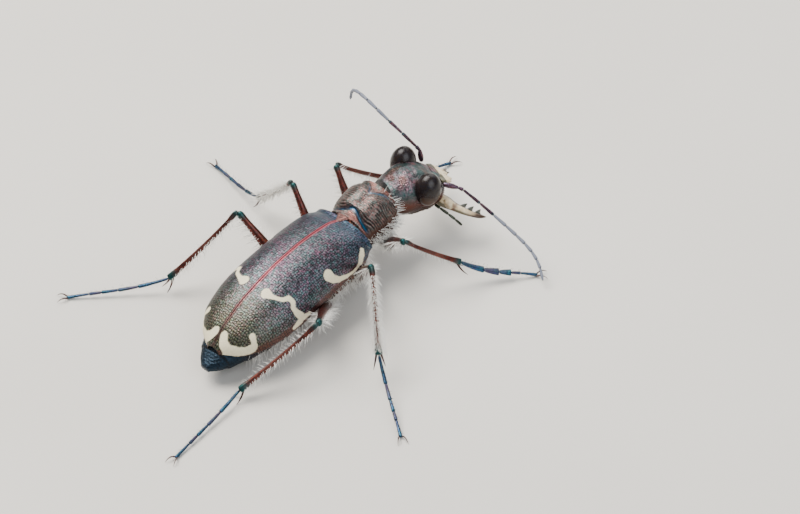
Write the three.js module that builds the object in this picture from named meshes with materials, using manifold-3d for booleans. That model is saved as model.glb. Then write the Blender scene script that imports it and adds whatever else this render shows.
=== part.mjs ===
// A life-size model of a male ground tiger beetle, standing head-up on all six feet.
// Millimetres, +Z up. The head points to -Y and the beetle's left side is +X.
// The origin is at the bottom centre of the finished model.

import * as THREE from "three";
import { mergeVertices } from "three/addons/utils/BufferGeometryUtils.js";
import Module from "manifold-3d";

const wasm = await Module();
wasm.setup();
const { Manifold, Mesh: SolidMesh } = wasm;

// Driving dimensions.
const GAP = 0.1; // clear space between neighbouring nodes
const BODY_PITCH = 7.2; // degrees, head end up
const MARGIN_HEIGHT = 2.61; // elytral margin over the floor, below the scutellum's tip
const ELYTRA_LENGTH = 8.6;
const ELYTRA_HALF_WIDTH = 2.16; // widest, at 60 per cent of the length
const ELYTRA_ARCH = 1.72; // highest point of the back over the margin
const SHELL = 0.3; // thickness of an elytron
const ABDOMEN_TIP = 9.25; // the last segment reaches past the elytra
const WAIST = 2.6; // where the thorax meets the abdomen
const PRONOTUM_BACK = -0.42;
const PRONOTUM_FRONT = -2.62;
const PRONOTUM_HALF_WIDTH = 1.4;
const NECK = [0, -2.66, 0.76]; // pivot of the head, at the top of the neck
const HEAD_YAW = 17.2; // degrees, turned to the beetle's right
const HEAD_PITCH = 21; // degrees, face down
const HEAD_ROLL = 4; // degrees, left eye lower
const HEAD_REACH = 1.94; // neck to the line between the eyes
const EYE_RADIUS = [0.58, 0.61, 0.82];
const EYE_CENTRE = [1.14, 0, 0.18];
const MANDIBLE_LENGTH = 2.3;
const ANTENNA_SEGMENTS = [0.75, 0.24, 1.0, 0.84, 0.77, 0.64, 0.57, 0.5, 0.45, 0.45, 0.6];
const SOLE = 0.07; // all feet are cut flat at this level, which becomes the floor

// Joints of each leg over the floor: knee, end of the tibia and end of the tarsus.
// A coxa hangs below the thorax at `coxa` of the body's own frame.
const LEGS = {
  front_left: {
    coxa: [0.62, -1.75, -1.15], knee: [2.95, -2.75, 3.2], ankle: [2.15, -5.2, 1.08], tip: [1.35, -8.45, 0.16],
    girth: 0.9, wide: true,
  },
  front_right: {
    coxa: [-0.62, -1.75, -1.15], knee: [-3.15, -0.87, 3.38], ankle: [-4.44, -3.02, 1.35],
    tip: [-6.83, -5.5, 0.16], girth: 0.9, wide: true,
  },
  middle_left: {
    coxa: [0.78, 0.55, -1.3], knee: [3.17, -0.18, 3.82], ankle: [5.77, -0.43, 1.2], tip: [9.6, -1.43, 0.16], girth: 0.92,
  },
  middle_right: {
    coxa: [-0.78, 0.55, -1.3], knee: [-3.44, 1.53, 3.73], ankle: [-5.95, 3.93, 1.55],
    tip: [-9.35, 6.2, 0.16], girth: 0.92,
  },
  hind_left: {
    coxa: [0.72, 2.35, -1.35], knee: [3.7, 2.84, 3.86], ankle: [5.41, 5.9, 0.92], tip: [8.73, 9.25, 0.16], girth: 1,
  },
  hind_right: {
    coxa: [-0.72, 2.35, -1.35], knee: [-3.57, 5.24, 3.0], ankle: [-1.95, 8.95, 0.62],
    tip: [-2.42, 13.65, 0.16], girth: 1,
  },
};

const radians = THREE.MathUtils.degToRad;
const vec = ([x, y, z]) => new THREE.Vector3(x, y, z);

// A smooth curve through [place, value] keys, level where the keys turn.
function spline(keys) {
  const n = keys.length;
  const rise = keys.slice(1).map((k, i) => (k[1] - keys[i][1]) / (k[0] - keys[i][0]));
  const slope = keys.map((_, i) => {
    if (i === 0) return rise[0];
    if (i === n - 1) return rise[n - 2];
    return rise[i - 1] * rise[i] <= 0 ? 0 : (2 * rise[i - 1] * rise[i]) / (rise[i - 1] + rise[i]);
  });
  return (x) => {
    let i = 0;
    while (i < n - 2 && x > keys[i + 1][0]) i++;
    const step = keys[i + 1][0] - keys[i][0];
    const t = THREE.MathUtils.clamp((x - keys[i][0]) / step, 0, 1);
    return (
      keys[i][1] * (1 + 2 * t) * (1 - t) ** 2 +
      step * slope[i] * t * (1 - t) ** 2 +
      keys[i + 1][1] * t * t * (3 - 2 * t) +
      step * slope[i + 1] * t * t * (t - 1)
    );
  };
}

// A closed solid from a three.js geometry.
function solid(geometry) {
  const bare = geometry.index ? geometry.toNonIndexed() : geometry.clone();
  for (const name of Object.keys(bare.attributes)) if (name !== "position") bare.deleteAttribute(name);
  const merged = mergeVertices(bare, 1e-5);
  const corners = [];
  for (let i = 0; i < merged.index.count; i += 3) {
    const [a, b, c] = [0, 1, 2].map((k) => merged.index.getX(i + k));
    if (a !== b && b !== c && c !== a) corners.push(a, b, c);
  }
  return new Manifold(
    new SolidMesh({
      numProp: 3,
      vertProperties: new Float32Array(merged.attributes.position.array),
      triVerts: new Uint32Array(corners),
    }),
  );
}

// A closed skin over rings of equal counts, with a cap on each end.
function loft(rings) {
  const sides = rings[0].length;
  const points = rings.flat();
  const middle = (ring) => ring.reduce((a, p) => a.add(p), new THREE.Vector3()).divideScalar(sides);
  points.push(middle(rings[0]), middle(rings[rings.length - 1]));
  const index = [];
  for (let i = 0; i < rings.length - 1; i++)
    for (let j = 0; j < sides; j++) {
      const k = (j + 1) % sides;
      const [a, b, c, d] = [i * sides + j, i * sides + k, (i + 1) * sides + j, (i + 1) * sides + k];
      index.push(a, b, c, b, d, c);
    }
  const last = (rings.length - 1) * sides;
  for (let j = 0; j < sides; j++) {
    const k = (j + 1) % sides;
    index.push(points.length - 2, k, j, points.length - 1, last + j, last + k);
  }
  const geometry = new THREE.BufferGeometry();
  geometry.setAttribute("position", new THREE.Float32BufferAttribute(points.flatMap((p) => p.toArray()), 3));
  geometry.setIndex(index);
  const shape = solid(geometry);
  return shape.volume() > 0 ? shape : solid(flipped(geometry));
}

function flipped(geometry) {
  const turned = geometry.clone();
  const index = Array.from(turned.index.array);
  for (let i = 0; i < index.length; i += 3) [index[i], index[i + 1]] = [index[i + 1], index[i]];
  turned.setIndex(index);
  return turned;
}

// A cross-section of the body at y: rounded, `top` above and `bottom` below its line z.
function section(y, z, half, top, bottom, sides = 24, power = 2.3) {
  const round = (v) => Math.sign(v) * Math.abs(v) ** (2 / power);
  return Array.from({ length: sides }, (_, j) => {
    const a = (2 * Math.PI * j) / sides;
    const s = round(Math.sin(a));
    return new THREE.Vector3(half * round(Math.cos(a)), y, z + s * (s > 0 ? top : bottom));
  });
}

// A tube of changing round section through points; `flat` squeezes it along its second direction.
function tube(points, radii, { sides = 8, flat = 1, up = [0, 0, 1], grow = 0 } = {}) {
  const path = points.map(vec);
  const rings = path.map((p, i) => {
    const ahead = path[Math.min(i + 1, path.length - 1)].clone().sub(path[Math.max(i - 1, 0)]).normalize();
    const side = new THREE.Vector3().crossVectors(ahead, vec(up)).normalize();
    const over = new THREE.Vector3().crossVectors(side, ahead).normalize();
    const at = p.clone();
    if (i === 0) at.addScaledVector(ahead, -grow);
    if (i === path.length - 1) at.addScaledVector(ahead, grow);
    return Array.from({ length: sides }, (_, j) => {
      const a = (2 * Math.PI * (j + 0.5)) / sides;
      return at
        .clone()
        .addScaledVector(side, (radii[i] + grow) * Math.cos(a))
        .addScaledVector(over, (radii[i] * flat + grow) * Math.sin(a));
    });
  });
  return loft(rings);
}

function ellipsoid(centre, radii, grow = 0, detail = 16) {
  const ball = new THREE.SphereGeometry(1, detail, Math.round(detail * 0.7));
  ball.scale(...radii.map((r) => r + grow));
  ball.translate(...centre);
  return solid(ball);
}

function box(low, high) {
  const size = high.map((h, i) => h - low[i]);
  const block = new THREE.BoxGeometry(...size);
  block.translate(...low.map((l, i) => l + size[i] / 2));
  return solid(block);
}

const join = (shapes) => shapes.reduce((a, b) => a.add(b));
const cut = (shape, tools) => tools.reduce((a, b) => a.subtract(b), shape);

// The largest closed surface of a solid.
function largest(shape) {
  return shape.decompose().reduce((a, b) => (a.volume() > b.volume() ? a : b));
}

const group = new THREE.Group();
const body = new THREE.Group(); // turned with the body's pitch: -Y along the head end
const head = new THREE.Group();
body.rotation.x = -radians(BODY_PITCH);
body.position.z = MARGIN_HEIGHT;
head.rotation.order = "ZXY";
head.rotation.z = -radians(HEAD_YAW);
head.rotation.x = radians(HEAD_PITCH);
head.rotation.y = radians(HEAD_ROLL);
head.position.set(...NECK);
body.add(head);
group.add(body);
group.updateMatrixWorld(true);

function add(parent, name, shape, colour, { metalness = 0, roughness = 0.5 } = {}) {
  const mesh = largest(shape).getMesh();
  const geometry = new THREE.BufferGeometry();
  geometry.setAttribute("position", new THREE.Float32BufferAttribute(mesh.vertProperties, 3));
  geometry.setIndex(Array.from(mesh.triVerts));
  const node = new THREE.Mesh(geometry, new THREE.MeshStandardMaterial({ color: colour, metalness, roughness }));
  node.name = name;
  parent.add(node);
  return node;
}

const moved = (shape, matrix) => shape.transform(matrix.elements);

// Elytra: outline and height of the back along u, from the shoulders (0) to the apex (1).
const outline = spline([[0, 0.8], [0.05, 0.9], [0.12, 0.94], [0.35, 0.97], [0.6, 1], [0.8, 0.88], [0.92, 0.6], [1, 0.16]]);
const backHeight = spline([[0, 0.56], [0.08, 0.76], [0.3, 0.97], [0.45, 1], [0.7, 0.86], [0.88, 0.56], [1, 0.2]]);
const ELYTRA_FRONT = -0.22;

function elytraSkin(inset = 0) {
  const rings = [];
  for (let i = 0; i <= 22; i++) {
    const u = i / 22;
    const y = THREE.MathUtils.lerp(ELYTRA_FRONT + inset, ELYTRA_LENGTH - inset, Math.sin((u * Math.PI) / 2) ** 0.85 * 0.35 + u * 0.65);
    const s = THREE.MathUtils.clamp(y / ELYTRA_LENGTH, 0, 1);
    const half = ELYTRA_HALF_WIDTH * outline(s) - inset;
    const high = ELYTRA_ARCH * backHeight(s) - inset;
    rings.push(section(y, 0, Math.max(half, 0.1), Math.max(high, 0.06), 0.16, 32, 2.25));
  }
  return loft(rings);
}

// The trunk under the elytra, in two solids with one line of sections.
const trunkHalf = spline([[-0.3, 1.25], [0.2, 1.62], [1.5, 1.86], [3, 1.8], [5, 1.82], [6.8, 1.6], [8.2, 1.02], [8.9, 0.6], [ABDOMEN_TIP, 0.22]]);
const trunkTop = spline([[-0.3, 0.72], [0.3, 0.92], [1.5, 1.2], [4, 1.3], [6, 1.02], [7.6, 0.5], [8.5, 0.02], [ABDOMEN_TIP, -0.38]]);
const trunkFloor = spline([[-0.3, -1.1], [0.4, -1.4], [1.6, -1.52], [3, -1.5], [5, -1.34], [7.2, -1.08], [8.6, -0.86], [ABDOMEN_TIP, -0.66]]);

function trunk(from, to, grow = 0, steps = 9) {
  const rings = [];
  for (let i = 0; i <= steps; i++) {
    const y = THREE.MathUtils.lerp(from, to, i / steps);
    const [top, floor] = [trunkTop(y), trunkFloor(y)];
    const line = Math.min(-0.15, (top + floor) / 2);
    const at = y + (i === 0 ? -grow : i === steps ? grow : 0);
    rings.push(section(at, line, trunkHalf(y) + grow, top - line + grow, line - floor + grow, 24, 2.3));
  }
  return loft(rings);
}

// Prothorax: narrow collars before and behind, sides rounded, disc gently arched.
const proHalf = spline([[0, 0.8], [0.1, 0.86], [0.35, 0.97], [0.62, 1], [0.85, 0.93], [1, 0.78]]);
const proTop = spline([[0, 0.86], [0.14, 0.8], [0.3, 1.04], [0.7, 1.12], [0.86, 0.98], [1, 0.96]]);

function prothorax(grow = 0) {
  const rings = [];
  for (let i = 0; i <= 12; i++) {
    const t = i / 12;
    const y = THREE.MathUtils.lerp(PRONOTUM_BACK, PRONOTUM_FRONT, t);
    const at = y + (i === 0 ? grow : i === 12 ? -grow : 0);
    const half = PRONOTUM_HALF_WIDTH * proHalf(t);
    rings.push(section(at, -0.1, half + grow, proTop(t) + 0.1 + grow, 1.12 + grow, 24, 2.2));
  }
  return loft(rings);
}

const METAL = { metalness: 0.7, roughness: 0.35 };
const coxaSockets = Object.values(LEGS).map(({ coxa }) => coxa);

const pterothorax = trunk(-0.3, WAIST);
const abdomen = trunk(WAIST + GAP, ABDOMEN_TIP);
const trunkGrown = trunk(-0.3, ABDOMEN_TIP, GAP, 20);
const scutellumShape = (grow) => {
  const outlineShape = new THREE.Shape();
  outlineShape.moveTo(-0.34 - grow, PRONOTUM_BACK + GAP - grow);
  outlineShape.lineTo(0.34 + grow, PRONOTUM_BACK + GAP - grow);
  outlineShape.lineTo(0, 0.22 + 2 * grow);
  const plate = new THREE.ExtrudeGeometry(outlineShape, { depth: 0.5 + 2 * grow, bevelEnabled: false });
  plate.translate(0, 0, 0.55 - grow);
  return solid(plate);
};
const suture = box([-GAP / 2, -3, -3], [GAP / 2, 12, 5]);
const elytra = cut(elytraSkin(), [trunkGrown, scutellumShape(GAP)]);
const halves = elytra.subtract(suture).decompose().sort((a, b) => b.volume() - a.volume()).slice(0, 2);
for (const half of halves) {
  const centre = half.boundingBox();
  const side = centre.min[0] + centre.max[0] > 0 ? "left" : "right";
  add(body, `elytron_${side}`, half, 0x4a4a52, METAL);
}

// Head, in a frame whose origin is the neck, with -Y along the face.
const headY = (along) => -(HEAD_REACH + along);
const headHalf = spline([[-1.6, 0.86], [-1.2, 1.0], [-0.6, 1.12], [0, 1.06], [0.5, 1.06], [0.9, 0.98], [1.12, 0.84]]);
const headTop = spline([[-1.6, 0.12], [-1.2, 0.4], [-0.6, 0.66], [0, 0.68], [0.5, 0.54], [0.9, 0.34], [1.12, 0.18]]);
const headFloor = spline([[-1.6, -1.5], [-1.1, -1.52], [-0.4, -1.5], [0.4, -1.44], [0.9, -1.26], [1.12, -1.0]]);
const FACE = 1.12; // front end of the skull, ahead of the eyes

function skull(grow = 0) {
  const rings = [];
  for (let i = 0; i <= 14; i++) {
    const along = THREE.MathUtils.lerp(-1.6, FACE, i / 14);
    const at = along + (i === 0 ? -grow : i === 14 ? grow : 0);
    const [top, floor] = [headTop(along), headFloor(along)];
    const line = (top + floor) / 2;
    rings.push(section(headY(at), line, headHalf(along) + grow, top - line + grow, line - floor + grow, 20, 2.3));
  }
  return loft(rings);
}

function eye(side, grow = 0) {
  const [x, along, z] = EYE_CENTRE;
  return ellipsoid([side * x, headY(along), z], EYE_RADIUS, grow);
}

// Upper lip: a thin arched plate with three blunt teeth along its front.
function labrum(grow = 0) {
  const rings = [];
  for (let i = 0; i <= 5; i++) {
    const t = i / 5;
    const along = FACE + GAP + 0.44 * t;
    rings.push(section(headY(along), -0.06 - 0.12 * t, 0.74 - 0.2 * t * t + grow, 0.13 + grow, 0.17 + grow, 20, 2.6));
  }
  const teeth = [-0.3, 0, 0.3].map((x) =>
    tube([[x, headY(1.5), -0.2], [x, headY(1.76 + 0.05 * (x === 0)), -0.23]], [0.15, 0.04], { sides: 8, flat: 0.6 }),
  );
  return grow ? loft(rings) : join([loft(rings), ...teeth]);
}

// A sickle-shaped jaw: it leaves the cheek, swings out and hooks back to its point.
function mandible(side, spread, grow = 0) {
  const base = [0.59, 1.1, -0.97];
  const points = [];
  const radii = [];
  let [x, along, z] = base;
  const steps = 8;
  for (let i = 0; i <= steps; i++) {
    const t = i / steps;
    points.push([side * x, headY(along), z]);
    radii.push(THREE.MathUtils.lerp(0.36, 0.05, t ** 0.8));
    const turn = radians(spread - 44 * t * t);
    x += (Math.sin(turn) * MANDIBLE_LENGTH) / steps;
    along += (Math.cos(turn) * MANDIBLE_LENGTH) / steps;
    z -= 0.05;
  }
  const blade = tube(points, radii, { sides: 10, flat: 0.72, grow });
  const teeth = [3, 4.4, 5.8].map((place) => {
    const i = Math.floor(place);
    const root = vec(points[i]).lerp(vec(points[i + 1]), place - i);
    const ahead = vec(points[i + 1]).sub(vec(points[i])).normalize();
    const inner = new THREE.Vector3(-side, 0, 0).addScaledVector(ahead, side * ahead.x + 0.35).normalize();
    const end = root.clone().addScaledVector(inner, radii[i] + 0.26);
    return tube([root.toArray(), end.toArray()], [0.13, 0.03], { sides: 6 });
  });
  return grow ? blade : join([blade, ...teeth]);
}

// A jointed feeler of the mouth: the joints are narrower than the segments.
function palp(root, heading, drop, lengths, radius) {
  const points = [root];
  const radii = [radius];
  let at = vec(root);
  lengths.forEach((length, i) => {
    const turn = radians(heading - 9 * i);
    const dip = radians(drop + 8 * i);
    const ahead = new THREE.Vector3(Math.sin(turn) * Math.cos(dip), -Math.cos(turn) * Math.cos(dip), -Math.sin(dip));
    const middle = at.clone().addScaledVector(ahead, length * 0.55);
    at = at.clone().addScaledVector(ahead, length);
    points.push(middle.toArray(), at.toArray());
    radii.push(radius * (1 - 0.06 * i), radius * (0.8 - 0.08 * i));
  });
  return tube(points, radii, { sides: 8 });
}

const eyesGrown = [eye(1, GAP), eye(-1, GAP)];
const SIDES = { left: 1, right: -1 };
const SPREAD = { left: 48, right: 57 };
const mandiblesGrown = Object.entries(SIDES).map(([name, side]) => mandible(side, SPREAD[name], GAP));
const bodyInHead = new THREE.Matrix4().copy(head.matrix).invert();
const proGrownInHead = moved(prothorax(GAP), bodyInHead);
const skullGrown = skull(GAP);
const antennaRoot = (side) => [side * 0.95, headY(0.88), 0.14];
const socket = (side) => ellipsoid(antennaRoot(side), [0.26, 0.26, 0.26], 0, 12);

add(head, "head", cut(skull(), [...eyesGrown, ...mandiblesGrown, proGrownInHead, socket(1), socket(-1)]), 0x8a5a48, METAL);
add(head, "labrum", cut(labrum(), mandiblesGrown), 0xe6d9a8, { roughness: 0.4 });
for (const [name, side] of Object.entries(SIDES)) {
  add(head, `eye_${name}`, eye(side), 0x2b1a14, { roughness: 0.15 });
  add(head, `mandible_${name}`, cut(mandible(side, SPREAD[name]), [labrum(GAP)]), 0xe8dcc0, { roughness: 0.3 });
  const upper = palp([side * 0.62, headY(0.86), -1.2], side * 60, 14, [0.3, 0.5, 0.4, 0.45], 0.19);
  const lower = palp([side * 0.24, headY(0.8), -1.3], side * 12, 14, [0.4, 0.6, 0.45], 0.19);
  const clear = [skullGrown, ...mandiblesGrown];
  add(head, `maxillary_palp_${name}`, cut(upper, clear), 0x6a5a3a, METAL);
  add(head, `labial_palp_${name}`, cut(lower, clear), 0xd8c48a, METAL);
}

// Antennae: eleven segments from a thick scape, laid out sideways and drooping at the end.
function antenna(side, { heading, lift }) {
  const points = [];
  const radii = [];
  let at = vec(antennaRoot(side));
  const wide = (i) => [0.21, 0.17, 0.19, 0.19, 0.19, 0.19, 0.185, 0.18, 0.17, 0.16, 0.13][i];
  ANTENNA_SEGMENTS.forEach((length, i) => {
    const [turn, up] = [radians(heading[i]), radians(lift[i])];
    const ahead = new THREE.Vector3(side * Math.sin(turn) * Math.cos(up), -Math.cos(turn) * Math.cos(up), Math.sin(up));
    points.push(at.toArray(), at.clone().addScaledVector(ahead, length * 0.75).toArray());
    radii.push(wide(i) * 0.86, wide(i));
    at = at.clone().addScaledVector(ahead, length);
  });
  points.push(at.toArray());
  radii.push(0.06);
  return tube(points, radii, { sides: 8 });
}

// Degrees for each segment: outward from straight ahead, and up from the plane of the head.
const ANTENNA_POSE = {
  left: {
    heading: [180, 156, 148, 132, 117, 105, 95, 85, 75, 65, 55],
    lift: [73, 43, 41, 33, 24, 13, -1, -16, -32, -48, -64],
  },
  right: {
    heading: [41, 49, 59, 61, 63, 65, 68, 73, 81, 90, 100],
    lift: [-1, -9, -20, -21, -20, -20, -20, -22, -26, -31, -37],
  },
};
for (const [name, side] of Object.entries(SIDES)) {
  add(head, `antenna_${name}`, cut(antenna(side, ANTENNA_POSE[name]), [eye(side, GAP), mandiblesGrown[side > 0 ? 0 : 1]]), 0x4a3038, METAL);
}

// Legs. Coxae are modelled in the body's frame; the rest stand on the floor's frame.
const toFloor = body.matrixWorld;
const lower = (p, drop) => [p[0], p[1], p[2] - drop];
const coxaEnd = ([x, y, z]) => [x + Math.sign(x) * 0.34, y + 0.1, z - 0.5];
const coxaShape = (coxa, grow) =>
  join([
    tube([[coxa[0], coxa[1], coxa[2] + 0.5], coxa, lower(coxa, 0.32)], [0.5, 0.48, 0.34], { sides: 10, up: [0, 1, 0], grow }),
    tube([lower(coxa, 0.15), coxaEnd(coxa)], [0.3, 0.26], { sides: 8, up: [0, 1, 0], grow }),
  ]);

const along = (a, b, t) => vec(a).lerp(vec(b), t).toArray();

function femurShape(hip, knee, girth, grow = 0) {
  const stops = [0, 0.12, 0.3, 0.6, 0.86, 1];
  const thick = [0.24, 0.31, 0.36, 0.31, 0.25, 0.26].map((r) => r * girth);
  return tube(stops.map((t) => along(hip, knee, t)), thick, { sides: 10, grow });
}

function tibiaShape(knee, ankle, girth, grow = 0) {
  const stops = [0, 0.1, 0.5, 0.9, 1];
  const thick = [0.25, 0.23, 0.23, 0.25, 0.25].map((r) => r * girth);
  return tube(stops.map((t) => along(knee, ankle, t)), thick, { sides: 8, grow });
}

// Two spurs at the end of a tibia, pointing on and down.
function spurs(knee, ankle, length) {
  const ahead = vec(ankle).sub(vec(knee)).normalize();
  const side = new THREE.Vector3().crossVectors(ahead, new THREE.Vector3(0, 0, 1)).normalize();
  return [-1, 1].map((s) => {
    const root = vec(ankle).addScaledVector(ahead, -0.2).addScaledVector(side, s * 0.1);
    const end = root.clone().addScaledVector(ahead, length).addScaledVector(side, s * 0.3);
    return tube([root.toArray(), end.toArray()], [0.11, 0.02], { sides: 6 });
  });
}

// Five foot segments, each wider at its far end, then two claws. The sole is cut flat.
function tarsusShape(ankle, tip, wide) {
  const shares = [0, 0.3, 0.5, 0.66, 0.78, 1];
  const height = (t) => THREE.MathUtils.lerp(ankle[2], tip[2], t) - 0.35 * (ankle[2] - tip[2]) * Math.sin(Math.PI * t) * (1 - t);
  const place = (t) => {
    const p = along(ankle, tip, t);
    return [p[0], p[1], height(t)];
  };
  const pieces = [];
  for (let i = 0; i < 5; i++) {
    const broad = wide && i < 3 ? 0.27 : 0.2;
    const [a, b] = [shares[i], shares[i + 1]];
    const reach = i === 4 ? b : b + 0.015;
    pieces.push(tube([place(a - 0.01), place(a + (b - a) * 0.7), place(reach)], [0.15, broad, broad * 0.9], { sides: 6, flat: 0.85 }));
  }
  const ahead = vec(tip).sub(vec(place(0.8))).setZ(0).normalize();
  const side = new THREE.Vector3(ahead.y, -ahead.x, 0);
  for (const s of [-1, 1]) {
    const root = vec(tip).addScaledVector(ahead, -0.1);
    const bend = vec(tip).addScaledVector(ahead, 0.24).addScaledVector(side, s * 0.14);
    const point = vec(tip).addScaledVector(ahead, 0.48).addScaledVector(side, s * 0.2);
    bend.z = SOLE + 0.13;
    point.z = SOLE + 0.05;
    pieces.push(tube([root.toArray(), bend.toArray(), point.toArray()], [0.12, 0.09, 0.03], { sides: 6 }));
  }
  return join(pieces).subtract(box([-40, -40, -5], [40, 40, SOLE]));
}

const coxae = {};
for (const [name, leg] of Object.entries(LEGS)) {
  const { coxa, knee, ankle, tip, girth, wide } = leg;
  const hip = vec(coxaEnd(coxa)).applyMatrix4(toFloor).toArray();
  coxae[name] = { shape: coxaShape(coxa, 0), grown: coxaShape(coxa, GAP) };
  const coxaFloor = moved(coxae[name].grown, toFloor);
  const femur = cut(femurShape(hip, knee, girth), [coxaFloor]);
  const tibia = join([tibiaShape(knee, ankle, girth), ...spurs(knee, ankle, 0.95 * girth)]);
  add(group, `femur_${name}`, femur, 0x7a3c28, METAL);
  add(group, `tibia_${name}`, tibia.subtract(femurShape(hip, knee, girth, GAP)), 0x7a4a3a, METAL);
  const foot = cut(tarsusShape(ankle, tip, wide), [
    tibiaShape(knee, ankle, girth, GAP),
    ...spurs(knee, ankle, 0.95 * girth + GAP),
  ]);
  add(group, `tarsus_${name}`, foot, 0x2a6a72, METAL);
}

const grownCoxae = Object.values(coxae).map(({ grown }) => grown);
const grownFemora = Object.values(LEGS).map(({ coxa, knee, girth }) => {
  const hip = vec(coxaEnd(coxa)).applyMatrix4(toFloor).toArray();
  return moved(femurShape(hip, knee, girth, GAP), new THREE.Matrix4().copy(toFloor).invert());
});
const trim = [...grownCoxae, ...grownFemora];
add(body, "pterothorax", cut(pterothorax, [prothorax(GAP), ...trim]), 0x5a3a34, METAL);
add(body, "abdomen", cut(abdomen, trim), 0x2c6a66, METAL);
add(body, "prothorax", cut(prothorax(), [...trim]), 0x6a5248, METAL);
add(body, "scutellum", cut(scutellumShape(0), [trunkGrown]), 0xb07a70, METAL);
for (const [name, leg] of Object.entries(LEGS)) add(body, `coxa_${name}`, coxae[name].shape, 0x5a3028, METAL);

// The origin goes to the bottom centre of the whole.
group.updateMatrixWorld(true);
const bounds = new THREE.Box3().setFromObject(group, true);
const centre = bounds.getCenter(new THREE.Vector3());
const model = new THREE.Group();
group.position.set(-centre.x, -centre.y, -bounds.min.z);
model.add(group);

export default model;
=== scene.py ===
# %% [markdown]
# # A ground tiger beetle, life size
#
# The beetle stands head-up on six slender legs. Its solids come from the frame; here each of
# them is dressed in a finer surface: granulate wing cases with cream marks, a wrinkled
# pronotum, big dark eyes, ivory jaws, hairy legs and jointed feelers. Everything is worked out
# in millimetres in the beetle's own frames, then placed once, when it becomes a mesh.

# %% Load the frame
import math

import bpy
import numpy as np
from mathutils import Matrix, Vector


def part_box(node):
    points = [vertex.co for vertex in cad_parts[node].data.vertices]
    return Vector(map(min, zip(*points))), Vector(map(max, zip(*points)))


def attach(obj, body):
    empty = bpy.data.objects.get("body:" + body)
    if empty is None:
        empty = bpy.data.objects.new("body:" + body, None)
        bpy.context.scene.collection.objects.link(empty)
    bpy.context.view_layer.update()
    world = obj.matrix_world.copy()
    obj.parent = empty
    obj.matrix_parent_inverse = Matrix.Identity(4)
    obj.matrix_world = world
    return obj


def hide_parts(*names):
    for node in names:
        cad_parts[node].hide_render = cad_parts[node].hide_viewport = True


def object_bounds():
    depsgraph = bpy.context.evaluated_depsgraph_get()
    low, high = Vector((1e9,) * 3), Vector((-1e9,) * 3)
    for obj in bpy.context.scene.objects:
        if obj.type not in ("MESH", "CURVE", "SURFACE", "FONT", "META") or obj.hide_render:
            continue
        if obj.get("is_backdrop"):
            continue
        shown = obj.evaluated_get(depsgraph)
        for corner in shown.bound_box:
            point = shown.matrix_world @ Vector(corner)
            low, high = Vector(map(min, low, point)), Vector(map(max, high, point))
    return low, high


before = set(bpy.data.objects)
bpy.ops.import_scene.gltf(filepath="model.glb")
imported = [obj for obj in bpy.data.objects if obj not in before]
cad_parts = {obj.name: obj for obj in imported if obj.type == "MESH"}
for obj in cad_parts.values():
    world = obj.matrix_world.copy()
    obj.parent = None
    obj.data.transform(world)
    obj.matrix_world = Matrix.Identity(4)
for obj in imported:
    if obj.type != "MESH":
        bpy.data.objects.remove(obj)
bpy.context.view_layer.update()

MM = 0.001
SIDES = (("left", 1), ("right", -1))

# %% [markdown]
# ## The beetle's own frames
#
# The trunk is pitched a little, head end up, and the head is turned and bowed on its neck.
# Points are written along the trunk (x to the beetle's left, y towards the tail, z up) or
# along the head, and these two turns bring them to the floor's frame. The shift comes from
# the frame itself: the tip of the scutellum is found in its box.

# %% Turns and places
BODY_PITCH, HEAD_YAW, HEAD_PITCH, HEAD_ROLL = map(math.radians, (7.2, 17.2, 21.0, 4.0))
MARGIN_HEIGHT = 2.61
SOLE = 0.07
NECK = np.array([0.0, -2.66, 0.76])
HEAD_REACH = 1.94


def turn(axis, a):
    """The matrix that turns by the angle a about axis 0, 1 or 2: cos a and sin a in the two rows
    and columns of the other axes."""
    made, one, two = np.eye(3), (axis + 1) % 3, (axis + 2) % 3
    made[one, one] = made[two, two] = math.cos(a)
    made[two, one], made[one, two] = math.sin(a), -math.sin(a)
    return made


BODY = turn(0, -BODY_PITCH)
HEAD = BODY @ turn(2, -HEAD_YAW) @ turn(0, HEAD_PITCH) @ turn(1, HEAD_ROLL)
plate_low, plate_high = (np.array(c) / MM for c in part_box("scutellum"))
plate_tip = BODY @ np.array([0, 0.22, 1.05])
SHIFT = np.array([(plate_low[0] + plate_high[0]) / 2, plate_high[1] - plate_tip[1], -SOLE])


def from_floor(p):
    return np.asarray(p, float) + SHIFT


def from_body(p):
    return np.asarray(p, float) @ BODY.T + [0, 0, MARGIN_HEIGHT] + SHIFT


def from_head(p):
    return np.asarray(p, float) @ HEAD.T + NECK @ BODY.T + [0, 0, MARGIN_HEIGHT] + SHIFT


print("shift of the floor's frame, mm:", SHIFT.round(3))

# %% [markdown]
# ## Camera
#
# The picture is a long-lens close-up from behind the beetle's right shoulder, well above it.
# The camera is set by its bearing, its height angle, a small roll and the width of the field
# at the subject, so the frame stays right at any distance.

# %% Camera
IMAGE = np.array([800, 514])
CAMERA_BEARING, CAMERA_RISE, CAMERA_ROLL = map(math.radians, (226.9, 43.0, 5.1))
PIXELS_PER_MM = 22.06
FOOT_PIXEL = np.array([345.5, 276.2])  # where the floor below the scutellum's tip shows
SENSOR, DISTANCE = 36.0, 700.0

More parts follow.
